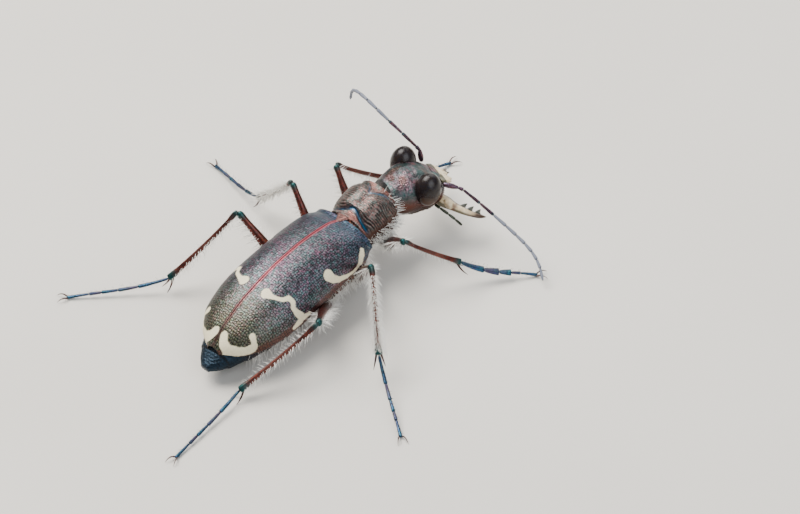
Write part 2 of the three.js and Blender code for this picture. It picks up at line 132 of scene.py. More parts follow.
back = np.array([
    math.sin(CAMERA_BEARING) * math.cos(CAMERA_RISE),
    -math.cos(CAMERA_BEARING) * math.cos(CAMERA_RISE),
    math.sin(CAMERA_RISE),
])
level = np.array([math.cos(CAMERA_BEARING), math.sin(CAMERA_BEARING), 0.0])
rise = np.cross(back, level)
right = math.cos(CAMERA_ROLL) * level - math.sin(CAMERA_ROLL) * rise
above = math.sin(CAMERA_ROLL) * level + math.cos(CAMERA_ROLL) * rise
offset = (IMAGE / 2 - FOOT_PIXEL) / PIXELS_PER_MM
aim = SHIFT + right * offset[0] - above * offset[1] + back * 2.0
camera = bpy.data.objects.new("camera", bpy.data.cameras.new("camera"))
bpy.context.collection.objects.link(camera)
camera.data.sensor_width = SENSOR
camera.data.lens = SENSOR * DISTANCE / (IMAGE[0] / PIXELS_PER_MM)
camera.data.clip_start, camera.data.clip_end = 0.01, 10
place = Matrix([[*row] for row in np.stack([right, above, back], 1)]).to_4x4()
place.translation = Vector((aim + back * DISTANCE) * MM)
camera.matrix_world = place
bpy.context.scene.camera = camera
print("lens, mm:", round(camera.data.lens, 1))

# %% [markdown]
# ## Floor and light
#
# A pale matt floor and soft boxes: a broad key above the far side, a weaker one near the
# camera and another beyond the head, and a pale sky for the metal to mirror. Dark shiny shells
# look black unless large pale shapes stand around them, so the boxes are big for their distance.

# %% Floor and light


def set_up(name):
    """A new material with an empty Principled shader; gives back the material, its tree and the
    shader."""
    material = bpy.data.materials.new(name)
    material.use_nodes = True
    return material, material.node_tree, material.node_tree.nodes["Principled BSDF"]


def feed(tree, end, value):
    """Links a socket to an input, or sets the input to a value."""
    if isinstance(value, bpy.types.NodeSocket):
        tree.links.new(value, end)
    else:
        end.default_value = value


def add_node(tree, kind, inputs, **settings):
    """A new node of a kind: its settings are made first, and then its inputs are fed."""
    node = tree.nodes.new("ShaderNode" + kind)
    for key, value in settings.items():
        setattr(node, key, value)
    for key, value in inputs.items():
        feed(tree, node.inputs[key], value)
    return node


def floor_material():
    """Two close pale tones in soft patches."""
    material, tree, shader = set_up("pale_floor")
    noise = add_node(tree, "TexNoise", {"Scale": 60})
    ramp = add_node(tree, "ValToRGB", {"Fac": noise.outputs["Fac"]})
    for stop, colour in zip(ramp.color_ramp.elements, ((0.60, 0.57, 0.52, 1), (0.68, 0.655, 0.61, 1))):
        stop.color = colour
    feed(tree, shader.inputs["Base Color"], ramp.outputs["Color"])
    shader.inputs["Roughness"].default_value = 0.85
    return material


floor_mesh = bpy.data.meshes.new("floor")
FLOOR = 0.6
corners = [(-FLOOR, -FLOOR, 0), (FLOOR, -FLOOR, 0), (FLOOR, FLOOR, 0), (-FLOOR, FLOOR, 0)]
floor_mesh.from_pydata(corners, [], [(0, 1, 2, 3)])
floor = bpy.data.objects.new("floor", floor_mesh)
floor_mesh.materials.append(floor_material())
bpy.context.collection.objects.link(floor)
floor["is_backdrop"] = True


def soft_box(name, bearing, height, distance, size, power, colour):
    """A square lamp that faces the beetle from a bearing and a height angle, in degrees; its
    distance and size are in metres."""
    lamp = bpy.data.lights.new(name, "AREA")
    lamp.size, lamp.energy, lamp.color = size, power, colour
    box = bpy.data.objects.new(name, lamp)
    b, h = math.radians(bearing), math.radians(height)
    place = Vector((math.sin(b) * math.cos(h), -math.cos(b) * math.cos(h), math.sin(h))) * distance
    box.location = place
    box.rotation_euler = place.to_track_quat("Z", "Y").to_euler()
    bpy.context.collection.objects.link(box)


soft_box("key", 95, 62, 0.22, 0.16, 1.12, (1, 0.965, 0.91))
soft_box("fill", 262, 40, 0.24, 0.2, 0.42, (0.90, 0.95, 1))
soft_box("back", 20, 35, 0.26, 0.2, 0.35, (1, 0.98, 0.95))
world = bpy.data.worlds.new("sky") if not bpy.context.scene.world else bpy.context.scene.world
bpy.context.scene.world = world
world.use_nodes = True
world.node_tree.nodes["Background"].inputs["Color"].default_value = (0.86, 0.9, 0.96, 1)
world.node_tree.nodes["Background"].inputs["Strength"].default_value = 0.36

# %% [markdown]
# ## Numbers into surfaces
#
# Every piece is a grid of rings, worked out as whole arrays: a ring count, a count of places
# round each ring, and three coordinates. One helper closes such a grid into a solid skin, and
# another puts any number of skins into one mesh, with a `tone` attribute of four channels that
# the materials read: it follows the surface, where an image would otherwise be needed.

# %% Curves, noise and grids


def spline(keys):
    """A smooth curve through (place, value) keys, level where they turn: cubic Hermite pieces
    whose slope at a key is the harmonic mean of the rises on its two sides."""
    x, y = np.array(keys, float).T
    step, rise = np.diff(x), np.diff(y) / np.diff(x)
    slope = np.r_[rise[0], np.zeros(len(x) - 2), rise[-1]]
    same = rise[:-1] * rise[1:] > 0
    slope[1:-1][same] = (2 * rise[:-1] * rise[1:])[same] / (rise[:-1] + rise[1:])[same]

    def value(q):
        q = np.asarray(q, float)
        i = np.clip(np.searchsorted(x, q, side="right") - 1, 0, len(x) - 2)
        t = np.clip((q - x[i]) / step[i], 0, 1)
        return (y[i] * (1 + 2 * t) * (1 - t) ** 2 + step[i] * slope[i] * t * (1 - t) ** 2
                + y[i + 1] * t * t * (3 - 2 * t) + step[i] * slope[i + 1] * t * t * (t - 1))

    return value


def smooth(low, high, x):
    """0 below low, 1 above high, and 3t^2 - 2t^3 between."""
    t = np.clip((x - low) / (high - low), 0, 1)
    return t * t * (3 - 2 * t)


def bell(x, width):
    """1 at x = 0, falling to either side as exp(-(x / width)^2)."""
    return np.exp(-((x / width) ** 2))


def scatter(i, j, seed):
    """A repeatable random number from 0 to 1 for each whole pair (i, j): the fraction of a large
    sine."""
    h = np.sin(i * 127.1 + j * 311.7 + seed * 74.7) * 43758.5453
    return h - np.floor(h)


def grains(x, y, seed=0):
    """Cellular pattern: distance to the nearest of the jittered points, one in each unit square,
    the distance to the second nearest, and a random number of the nearest."""
    i, j = np.floor(x), np.floor(y)
    first, second, own = np.full(x.shape, 9.0), np.full(x.shape, 9.0), np.zeros(x.shape)
    for a in (-1, 0, 1):
        for b in (-1, 0, 1):
            px = i + a + 0.15 + 0.7 * scatter(i + a, j + b, seed)
            py = j + b + 0.15 + 0.7 * scatter(i + a, j + b, seed + 5)
            d = np.hypot(px - x, py - y)
            nearer = d < first
            second = np.where(nearer, first, np.minimum(second, d))
            own = np.where(nearer, scatter(i + a, j + b, seed + 9), own)
            first = np.where(nearer, d, first)
    return first, second, own


def domes(x, y, seed):
    """Small domes, 0 in the furrow between two cells and 1 from half a cell inwards, and each
    cell's own random number."""
    first, second, own = grains(x, y, seed)
    return np.clip(second - first, 0, 0.5) / 0.5, own


def waves(x, y, seed=0):
    """Soft value noise from -1 to 1: random corners of unit squares, blended by 3t^2 - 2t^3."""
    i, j = np.floor(x), np.floor(y)
    u, v = smooth(0, 1, x - i), smooth(0, 1, y - j)
    a, b = scatter(i, j, seed), scatter(i + 1, j, seed)
    c, d = scatter(i, j + 1, seed), scatter(i + 1, j + 1, seed)
    return 2 * (a * (1 - u) * (1 - v) + b * u * (1 - v) + c * (1 - u) * v + d * u * v) - 1


def section(y, line, half, top, bottom, sides, power=2.3):
    """Rings across y: a rounded box |x/half|^p + |z/height|^p = 1 about z = line, with its own
    height above and below. All sizes may change from ring to ring."""
    a = 2 * np.pi * np.arange(sides) / sides
    c = np.sign(np.cos(a)) * np.abs(np.cos(a)) ** (2 / power)
    s = np.sign(np.sin(a)) * np.abs(np.sin(a)) ** (2 / power)
    given = (np.broadcast_to(q, y.shape)[:, None] * np.ones(sides) for q in (y, line, half, top, bottom))
    y, line, half, top, bottom = given
    return np.stack([half * c, y, line + s * np.where(s > 0, top, bottom)], -1)


def outward(rings):
    """Unit normals of a grid of rings: the cross product of its two directions, turned away from
    each ring's middle."""
    along = np.gradient(rings, axis=0)
    across = np.roll(rings, -1, 1) - np.roll(rings, 1, 1)
    n = np.cross(along, across)
    n /= np.linalg.norm(n, axis=2, keepdims=True) + 1e-12
    away = rings - rings.mean(1, keepdims=True)
    return n * np.sign((n * away).sum(2).mean())


def blank(rings):
    """Tones for a grid of rings, all four channels at 0."""
    return np.zeros(rings.shape[:2] + (4,))


def skin(rings, tone, strip=False):
    """A closed skin over a grid of rings: quads along and round it, and a fan on each end, or, for
    a shell whose ring runs out and back, a strip between its two halves."""
    count, sides = rings.shape[:2]
    i, j = np.meshgrid(np.arange(count - 1), np.arange(sides), indexing="ij")
    k = (j + 1) % sides
    quads = np.stack([i * sides + j, i * sides + k, (i + 1) * sides + k, (i + 1) * sides + j], -1)
    quads = quads.reshape(-1, 4)
    points, tones = rings.reshape(-1, 3), tone.reshape(-1, 4)
    last, j = (count - 1) * sides, np.arange(sides)
    if strip:
        m = np.arange(sides // 2 - 1)
        w = sides - 1 - m
        front = np.stack([m + 1, m, w, w - 1], -1)
        quads = np.concatenate([quads, front, last + front[:, ::-1]])
        tris = np.zeros((0, 3), int)
    else:
        points = np.concatenate([points, rings[0].mean(0)[None], rings[-1].mean(0)[None]])
        tones = np.concatenate([tones, tone[0].mean(0)[None], tone[-1].mean(0)[None]])
        k = (j + 1) % sides
        n = len(points) + 0 * j
        tris = np.concatenate([np.stack([k, j, n - 2], -1), np.stack([last + j, last + k, n - 1], -1)])
    a, b, c, d = (points[quads[:, m]] for m in range(4))
    volume = (np.einsum("ij,ij->", a, np.cross(b, c)) + np.einsum("ij,ij->", a, np.cross(c, d))) / 6
    if volume < 0:
        quads, tris = quads[:, ::-1], tris[:, ::-1]
    return points, quads, tris, tones


def tube(path, radii, sides=16, flat=1.0, up=(0, 0, 1), ridges=0.0):
    """A round or flattened section carried along a path. Radii change along it, and `ridges` adds
    four lengthwise keels, as a cosine of four times the angle."""
    path, radii = np.asarray(path, float), np.asarray(radii, float)
    ahead = np.gradient(path, axis=0)
    ahead /= np.linalg.norm(ahead, axis=1, keepdims=True)
    side = np.cross(ahead, np.asarray(up, float))
    side /= np.linalg.norm(side, axis=1, keepdims=True)
    over = np.cross(side, ahead)
    a = 2 * np.pi * (np.arange(sides) + 0.5) / sides
    r = radii[:, None] * (1 + ridges * np.cos(4 * a))
    return (path[:, None] + (r * np.cos(a))[..., None] * side[:, None]
            + (r * flat * np.sin(a))[..., None] * over[:, None])


def piece(name, skins, material, slot, nodes=(), uv=None):
    """One mesh object from (points, quads, triangles, tones) skins in millimetres of the floor's
    frame. It rides on the body, takes its finish from the material and stands for the named nodes.
    Its slot is not used."""
    points, quads, tris, tones, base = [], [], [], [], 0
    for p, q, t, c in skins:
        points.append(p)
        quads.append(q + base)
        tris.append(t + base)
        tones.append(c)
        base += len(p)
    points, quads, tris, tones = (np.concatenate(a) for a in (points, quads, tris, tones))
    mesh = bpy.data.meshes.new(name)
    mesh.vertices.add(len(points))
    mesh.vertices.foreach_set("co", (points * MM).astype(np.float32).ravel())
    corners = np.concatenate([quads.ravel(), tris.ravel()]).astype(np.int32)
    sizes = np.r_[np.full(len(quads), 4), np.full(len(tris), 3)]
    mesh.loops.add(len(corners))
    mesh.loops.foreach_set("vertex_index", corners)
    mesh.polygons.add(len(sizes))
    mesh.polygons.foreach_set("loop_start", np.r_[0, np.cumsum(sizes)[:-1]].astype(np.int32))
    mesh.update(calc_edges=True)
    mesh.shade_smooth()
    layer = mesh.attributes.new("tone", "FLOAT_COLOR", "POINT")
    layer.data.foreach_set("color", tones.astype(np.float32).ravel())
    if uv is not None:
        layer = mesh.uv_layers.new(name="OFBake")
        layer.data.foreach_set("uv", uv[corners].astype(np.float32).ravel())
    mesh.materials.append(material)
    thing = bpy.data.objects.new(name, mesh)
    bpy.context.collection.objects.link(thing)
    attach(thing, "root")
    if nodes:
        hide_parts(*nodes)
    print(f"{name}: {len(quads) * 2 + len(tris)} triangles")
    return thing


def placed(skins, frame_of):
    """The same skins, with their points brought to the floor's frame."""
    return [(frame_of(p), q, t, c) for p, q, t, c in skins]

# %% [markdown]
# ## Metal without metal
#
# A tiger beetle's colours come from thin layers in its shell, which mirror light as tinted
# metal does: purple, blue, green and copper run into one another over a fraction of a
# millimetre. Two shader groups do this for every material: one drifts a colour between two
# neighbours in soft patches with a fine sparkle, and one is the finest grain, as a height for
# a bump. Each material then lays its own tones over the drift, through the `tone` attribute.

# %% Shared shader groups


def socket(tree, name, kind, way="INPUT", value=None):
    made = tree.interface.new_socket(name=name, in_out=way, socket_type=kind)
    if value is not None:
        made.default_value = value


def drift_group():
    """Colour that drifts to two neighbours: soft noise at Size and at 6 times Size sets how far,
    and cells of random brightness at 9 times Size give the sparkle."""
    tree = bpy.data.node_groups.new("colour_drift", "ShaderNodeTree")
    for name in ("Colour", "Neighbour A", "Neighbour B"):
        socket(tree, name, "NodeSocketColor")
    for name, value in (("Size", 900.0), ("Amount", 0.8), ("Sparkle", 0.5)):
        socket(tree, name, "NodeSocketFloat", value=value)
    socket(tree, "Colour", "NodeSocketColor", "OUTPUT")
    given = tree.nodes.new("NodeGroupInput").outputs
    leave = tree.nodes.new("NodeGroupOutput")
    place = add_node(tree, "TexCoord", {}).outputs["Object"]

    def size_times(factor):
        return add_node(tree, "Math", {0: given["Size"], 1: factor}, operation="MULTIPLY").outputs[0]

    colour = given["Colour"]
    for neighbour, factor, seed in (("Neighbour A", 1.0, 0.0), ("Neighbour B", 6.0, 3.1)):
        field = {"Vector": place, "Scale": size_times(factor), "W": seed, "Detail": 3}
        noise = add_node(tree, "TexNoise", field, noise_dimensions="4D")
        limits = {"From Min": 0.38, "From Max": 0.66, "To Max": given["Amount"]}
        spread = add_node(tree, "MapRange", {"Value": noise.outputs["Fac"], **limits})
        ends = {"Factor": spread.outputs["Result"], "A": colour, "B": given[neighbour]}
        colour = add_node(tree, "Mix", ends, data_type="RGBA").outputs["Result"]
    cells = add_node(tree, "TexVoronoi", {"Vector": place, "Scale": size_times(9)})
    value = add_node(tree, "SeparateColor", {"Color": cells.outputs["Color"]}).outputs["Red"]
    bright = add_node(tree, "MapRange", {"Value": value, "To Min": 0.4, "To Max": 2.1}).outputs["Result"]
    grey = add_node(tree, "CombineColor", {"Red": bright, "Green": bright, "Blue": bright})
    ends = {"Factor": given["Sparkle"], "A": colour, "B": grey.outputs["Color"]}
    glint = add_node(tree, "Mix", ends, data_type="RGBA", blend_type="MULTIPLY")
    feed(tree, leave.inputs["Colour"], glint.outputs["Result"])
    return tree


def grain_group():
    """Fine grain of the shell: soft noise less the distance to the middles of small cells."""
    tree = bpy.data.node_groups.new("shell_grain", "ShaderNodeTree")
    socket(tree, "Size", "NodeSocketFloat", value=12000.0)
    socket(tree, "Height", "NodeSocketFloat", "OUTPUT")
    given = tree.nodes.new("NodeGroupInput").outputs
    leave = tree.nodes.new("NodeGroupOutput")
    shared = {"Vector": add_node(tree, "TexCoord", {}).outputs["Object"], "Scale": given["Size"]}
    cells = add_node(tree, "TexVoronoi", shared).outputs["Distance"]
    noise = add_node(tree, "TexNoise", shared).outputs["Fac"]
    total = add_node(tree, "Math", {0: noise, 1: cells}, operation="SUBTRACT")
    feed(tree, leave.inputs["Height"], total.outputs[0])
    return tree


DRIFT, GRAIN = drift_group(), grain_group()


def shell(name, colour, neighbours, layers=(), metal=0.8, rough=0.36, size=900.0, sparkle=0.5,
          amount=0.8, grain=12000.0, bump=0.35, coat=0.0, hollow=None, ends=()):
    """A shell material. `layers` lays (colour, metallic, roughness) over the drift where the tone's
    red, green and blue are high; `hollow` darkens it where the tone's fourth channel is: painted
    shade in pits, furrows and grooves and on undersides, and dark seams. Each of
    `ends` is (colour, y where it starts, y where it is full, share), in millimetres."""
    material, tree, shader = set_up(name)
    drift = add_node(tree, "Group", {"Size": size, "Amount": amount, "Sparkle": sparkle}, node_tree=DRIFT)
    for key, tint in (("Colour", colour), ("Neighbour A", neighbours[0]), ("Neighbour B", neighbours[1])):
        drift.inputs[key].default_value = (*tint, 1)
    tone = add_node(tree, "Attribute", {}, attribute_name="tone")
    parts = add_node(tree, "SeparateColor", {"Color": tone.outputs["Color"]})
    paint, metals, roughs = drift.outputs["Colour"], metal, rough

    def blend(kind, factor, a, b):
        return add_node(tree, "Mix", {"Factor": factor, "A": a, "B": b}, data_type=kind).outputs["Result"]

    where = add_node(tree, "TexCoord", {}).outputs["Object"]
    axes = add_node(tree, "SeparateXYZ", {"Vector": where})
    for tint, y_from, y_to, share in ends:
        limits = {"From Min": y_from * MM, "From Max": y_to * MM, "To Max": share}
        reach = add_node(tree, "MapRange", {"Value": axes.outputs["Y"], **limits},
                         interpolation_type="SMOOTHSTEP")
        paint = blend("RGBA", reach.outputs["Result"], paint, (*tint, 1))
    for channel, (tint, tint_metal, tint_rough) in zip(("Red", "Green", "Blue"), layers):
        paint = blend("RGBA", parts.outputs[channel], paint, (*tint, 1))
        metals = blend("FLOAT", parts.outputs[channel], metals, tint_metal)
        roughs = blend("FLOAT", parts.outputs[channel], roughs, tint_rough)
    # Painted shade: the fourth channel pulls the colour to the dark one in pits, furrows, grooves and on
    # undersides; dark seams ride on it too.
    if hollow:
        paint = blend("RGBA", tone.outputs["Alpha"], paint, (*hollow, 1))
    fine = add_node(tree, "Group", {"Size": grain}, node_tree=GRAIN)
    relief = add_node(tree, "Bump", {"Strength": bump, "Distance": 0.00002, "Height": fine.outputs["Height"]})
    finish = {"Base Color": paint, "Metallic": metals, "Roughness": roughs, "Coat Weight": coat,
              "Coat Roughness": 0.12, "Normal": relief.outputs["Normal"]}
    for key, value in finish.items():
        feed(tree, shader.inputs[key], value)
    return material


# DARK is the colour of painted shade in pits, furrows and grooves and on undersides, and of dark joints and
# seams.
CREAM, DARK = (0.78, 0.70, 0.48), (0.006, 0.006, 0.008)
TEAL = (0.006, 0.06, 0.06)
WING_CASE = shell("granulate_wing_case", (0.10, 0.085, 0.105), ((0.15, 0.06, 0.105), (0.04, 0.125, 0.12)),
                  [(CREAM, 0.0, 0.5), ((0.42, 0.08, 0.10), 0.75, 0.34), ((0.10, 0.028, 0.016), 0.5, 0.4)],
                  rough=0.36, size=1300, hollow=DARK, grain=16000, bump=0.3, sparkle=0.85,
                  ends=[((0.03, 0.09, 0.16), -0.6, -2.9, 0.6), ((0.12, 0.115, 0.04), 1.8, 5.6, 0.6)])
PRONOTUM = shell("wrinkled_pronotum", (0.155, 0.11, 0.10), ((0.25, 0.11, 0.10), (0.05, 0.12, 0.11)),
                 [((0.006, 0.12, 0.24), 0.85, 0.3), ((0.27, 0.105, 0.085), 0.85, 0.38),
                  ((0.08, 0.03, 0.018), 0.7, 0.4)],
                 rough=0.42, size=1500, hollow=DARK, grain=15000, sparkle=0.7)
HEAD_SHELL = shell("striate_head", (0.13, 0.095, 0.11), ((0.25, 0.11, 0.15), (0.05, 0.11, 0.105)),
                   [((0.02, 0.085, 0.075), 0.85, 0.34), ((0.15, 0.040, 0.022), 0.8, 0.32),
                    ((0.05, 0.02, 0.008), 0.6, 0.35)],
                   rough=0.38, size=1300, hollow=DARK, grain=15000, sparkle=0.7)
TRUNK_SHELL = shell("trunk_shell", (0.16, 0.045, 0.025), ((0.22, 0.08, 0.04), (0.04, 0.07, 0.05)),
                    [((0.012, 0.026, 0.042), 0.8, 0.38), ((0.03, 0.05, 0.03), 0.6, 0.4),
                     ((0.45, 0.30, 0.2), 0.2, 0.5)],
                    rough=0.34, size=1200, hollow=DARK, sparkle=0.7)
LEG_SHELL = shell("leg_shell", (0.085, 0.016, 0.013), ((0.19, 0.045, 0.03), (0.025, 0.03, 0.028)),
                  [(TEAL, 0.85, 0.3), ((0.03, 0.028, 0.03), 0.6, 0.35), ((0.14, 0.05, 0.035), 0.3, 0.45)],
                  rough=0.28, size=1700, grain=20000, sparkle=0.4, amount=0.7)
FOOT_SHELL = shell("foot_shell", (0.012, 0.05, 0.085), ((0.01, 0.09, 0.09), (0.02, 0.025, 0.10)),
                   [((0.06, 0.03, 0.05), 0.7, 0.35), (DARK, 0.4, 0.3), ((0.16, 0.07, 0.03), 0.3, 0.4)],
                   rough=0.26, size=2600, grain=20000)
FEELER = shell("feeler_shell", (0.07, 0.03, 0.05), ((0.14, 0.05, 0.05), (0.03, 0.05, 0.08)),
               [((0.17, 0.19, 0.24), 0.1, 0.6), ((0.02, 0.08, 0.09), 0.8, 0.3), (DARK, 0.3, 0.5)],
               rough=0.24, size=2600, grain=24000)
EYE = shell("dark_eye", (0.007, 0.004, 0.003), ((0.016, 0.008, 0.003), (0.007, 0.006, 0.012)),
            [((0.085, 0.034, 0.012), 0.0, 0.3)], metal=0.0, rough=0.27, size=1800, sparkle=0.25,
            grain=38000, bump=0.12)
EYE.node_tree.nodes["Principled BSDF"].inputs["Specular IOR Level"].default_value = 0.32
IVORY = shell("ivory_jaw", (0.64, 0.51, 0.31), ((0.74, 0.65, 0.46), (0.52, 0.38, 0.20)),
              [((0.014, 0.018, 0.008), 0.4, 0.3), ((0.12, 0.04, 0.02), 0.2, 0.3),
               ((0.02, 0.028, 0.014), 0.5, 0.32)],
              metal=0.0, rough=0.34, size=1500, sparkle=0.12, grain=9000, bump=0.15, coat=0.35)
HAIR = shell("white_hair", (0.86, 0.85, 0.81), ((0.90, 0.90, 0.88), (0.76, 0.73, 0.66)),
             [((0.05, 0.04, 0.04), 0.0, 0.4)], metal=0.0, rough=0.42, size=900, sparkle=0.1, bump=0.0)

# %% [markdown]
# ## Wing cases
#
# Each wing case is a thin vaulted shell: domed over the back, folded under at the side, open
# below. Its ring runs from the suture over the vault, under the side fold and back along the
# inside. The surface is granulate: thousands of tiny domes made as real relief, with painted
# shade in the pits between them kept in the tone's fourth channel. The cream marks are painted
# where a point, given by its distance along the shell and its distance from the suture, lies
# near one of a few short lines, so their edges stay sharp at any size.

# %% Wing cases
ELYTRA_LENGTH, ELYTRA_HALF_WIDTH, ELYTRA_ARCH, ELYTRA_FRONT = 8.6, 2.16, 1.72, -0.22
outline = spline([(0, 0.8), (0.05, 0.9), (0.12, 0.94), (0.35, 0.97), (0.6, 1), (0.8, 0.88), (0.92, 0.6),
                  (1, 0.16)])
back_height = spline([(0, 0.56), (0.08, 0.76), (0.3, 0.97), (0.45, 1), (0.7, 0.86), (0.88, 0.56), (1, 0.2)])
SHELL = 0.1
GRAIN_PITCH = 0.118
VAULT = 84  # places round the ring from the suture to the side

# Marks as runs of (y, distance from the suture, half width), in millimetres.
MARKS = [
    [(0.45, 1.98, 0.1), (0.6, 2.2, 0.15), (0.86, 2.56, 0.12), (1.39, 2.76, 0.07), (1.86, 2.74, 0.1)],
    [(1.86, 2.74, 0.1), (2.26, 2.62, 0.15), (2.55, 2.38, 0.2), (2.66, 2.1, 0.27)],
    [(5.46, 0.72, 0.25), (5.42, 1.0, 0.11), (5.34, 1.22, 0.1), (5.2, 1.45, 0.1), (4.92, 1.62, 0.12)],
    [(4.92, 1.62, 0.12), (4.88, 1.87, 0.11), (5.06, 2.08, 0.12), (5.03, 2.35, 0.15), (4.9, 2.68, 0.18)],
    [(4.45, 2.95, 0.1), (4.9, 2.85, 0.16), (5.45, 2.87, 0.11)],
    [(8.02, 0.28, 0.2), (8.26, 0.42, 0.21), (8.32, 0.78, 0.19), (8.1, 1.25, 0.16), (7.84, 1.6, 0.17),
     (7.5, 1.88, 0.18)],
    [(7.5, 1.85, 0.15), (7.38, 1.64, 0.13), (7.3, 1.45, 0.15)],
]


def mark_depth(y, across):
    """How deep a point lies inside the marks, in millimetres: the greatest, over all the lines, of
    the line's half width less the distance to it, both read at the nearest place on the line."""
    depth = np.full(y.shape, -9.0)
    for run in MARKS:
        for (ya, xa, ra), (yb, xb, rb) in zip(run[:-1], run[1:]):
            dy, dx = yb - ya, xb - xa
            t = np.clip(((y - ya) * dy + (across - xa) * dx) / (dy ** 2 + dx ** 2), 0, 1)
            gap = np.hypot(y - ya - t * dy, across - xa - t * dx)
            depth = np.maximum(depth, ra + t * (rb - ra) - gap)
    return depth


def wing_case(side):
    """Rings of one wing case: |x/half|^p + |z/height|^p = 1 from the suture to the side, a fold
    under it, and the same path back inside, thinner by the shell."""
    t = np.linspace(0, 1, 290)
    y = ELYTRA_FRONT + (ELYTRA_LENGTH - ELYTRA_FRONT) * (0.65 * t + 0.35 * np.sin(t * np.pi / 2) ** 0.85)
    u = np.clip(y / ELYTRA_LENGTH, 0, 1)
    half, high = ELYTRA_HALF_WIDTH * outline(u), ELYTRA_ARCH * back_height(u)
    half, high = half[:, None], high[:, None]
    a = np.linspace(0, np.pi / 2, VAULT)
    power = 2 / 2.25
    vault = np.stack([half * np.sin(a) ** power, high * np.cos(a) ** power], -1)
    tuck = 0.25 + 0.75 * smooth(ELYTRA_FRONT, ELYTRA_FRONT + 0.6, y)[:, None]
    tuck_in, tuck_down = np.array([0.015, 0.07, 0.2]), np.array([0.07, 0.13, 0.14])
    fold = np.stack([half - tuck_in * np.minimum(1, half), -tuck_down * tuck], -1)
    shape = np.concatenate([vault, fold], 1)
    step = np.gradient(shape, axis=1)
    step /= np.linalg.norm(step, axis=2, keepdims=True) + 1e-9
    normal = np.stack([-step[..., 1], step[..., 0]], -1)
    count = shape.shape[1]
    edge = np.minimum(1, np.minimum(np.arange(count), np.arange(count)[::-1]) / 6)
    thick = SHELL * (0.25 + 0.75 * edge) * np.minimum(1, high)
    inner = shape - normal * thick[..., None]
    inner[..., 0] = np.maximum(inner[..., 0], 0.0)
    strides = np.linalg.norm(np.diff(shape, axis=1), axis=2)
    across = np.concatenate([np.zeros((len(y), 1)), np.cumsum(strides, axis=1)], 1)
    ys = y[:, None] + 0 * across
    dome, own = domes(ys / GRAIN_PITCH, across / GRAIN_PITCH, 3)
    pit_shade = 1 - smooth(0.1, 0.8, dome)
    wobble = 0.025 * waves(ys * 5, across * 5, 8)
    mark = smooth(-0.02, 0.02, mark_depth(ys, across) + wobble)
    suture = smooth(0.1, 0.045, across)
    from_side = across[:, VAULT - 1:VAULT] - across
    bead = bell(from_side, 0.07)
    border = smooth(0.36, 0.2, from_side + 0.05 * waves(ys * 3, across * 3, 5)) * smooth(0.2, 1.6, ys)
    lift = 0.016 * dome * (1 - 0.7 * mark) * (1 - 0.7 * suture) + 0.03 * suture + 0.02 * bead
    lift = lift * smooth(ELYTRA_FRONT - 0.02, ELYTRA_FRONT + 0.3, ys)
    outer = shape + normal * (lift * np.minimum(1, high + 0.3))[..., None]
    loop = np.concatenate([outer, inner[:, ::-1]], 1)
    x = side * np.maximum(loop[..., 0], 0.014)
    rings = np.stack([x, y[:, None] + 0 * x, loop[..., 1]], -1)
    tone = blank(rings)
    back_part = smooth(3.0, 8.4, ys)
    tone[:, :count, 0] = mark
    glint = smooth(0.7, 1.0, own) * (0.13 - 0.08 * back_part) * smooth(0.3, 0.8, dome)
    tone[:, :count, 1] = np.clip(suture * (1 - 0.8 * back_part) + glint, 0, 1) * (1 - mark)
    tone[:, :count, 2] = np.clip(border + bead, 0, 1) * (1 - mark) * 0.85
    # Fourth channel: painted shade in the pits between the domes, less under the marks and on the suture, and
    # a darker suture towards the back.
    pit_shade = pit_shade * (1 - 0.9 * mark) * (1 - 0.8 * suture) * 0.95
    tone[:, :count, 3] = np.clip(pit_shade + 0.45 * suture * back_part, 0, 1)
    return rings, tone


for name, side in SIDES:
    rings, tone = wing_case(side)
    shell_skin = placed([skin(rings, tone, strip=True)], from_body)
    piece(f"wing_case_{name}", shell_skin, WING_CASE, "shell", [f"elytron_{name}"])

# %% [markdown]
# ## Pronotum and the small shield
#
# The pronotum is a short barrel: a collar before and behind, a deep groove inside each collar
# and a fine line down the middle. Between the grooves the surface is wrinkled crosswise. The
# wrinkles are real relief: the sine of the distance along the back, bent by soft noise so that
# no two run quite alike. The grooves shine blue and the collars coppery pink.

# %% Pronotum and scutellum
PRONOTUM_BACK, PRONOTUM_FRONT, PRONOTUM_HALF = -0.42, -2.62, 1.4
pro_half = spline([(0, 0.8), (0.1, 0.86), (0.35, 0.97), (0.62, 1), (0.85, 0.93), (1, 0.78)])
pro_top = spline([(0, 0.86), (0.14, 0.8), (0.3, 1.04), (0.7, 1.12), (0.86, 0.98), (1, 0.96)])


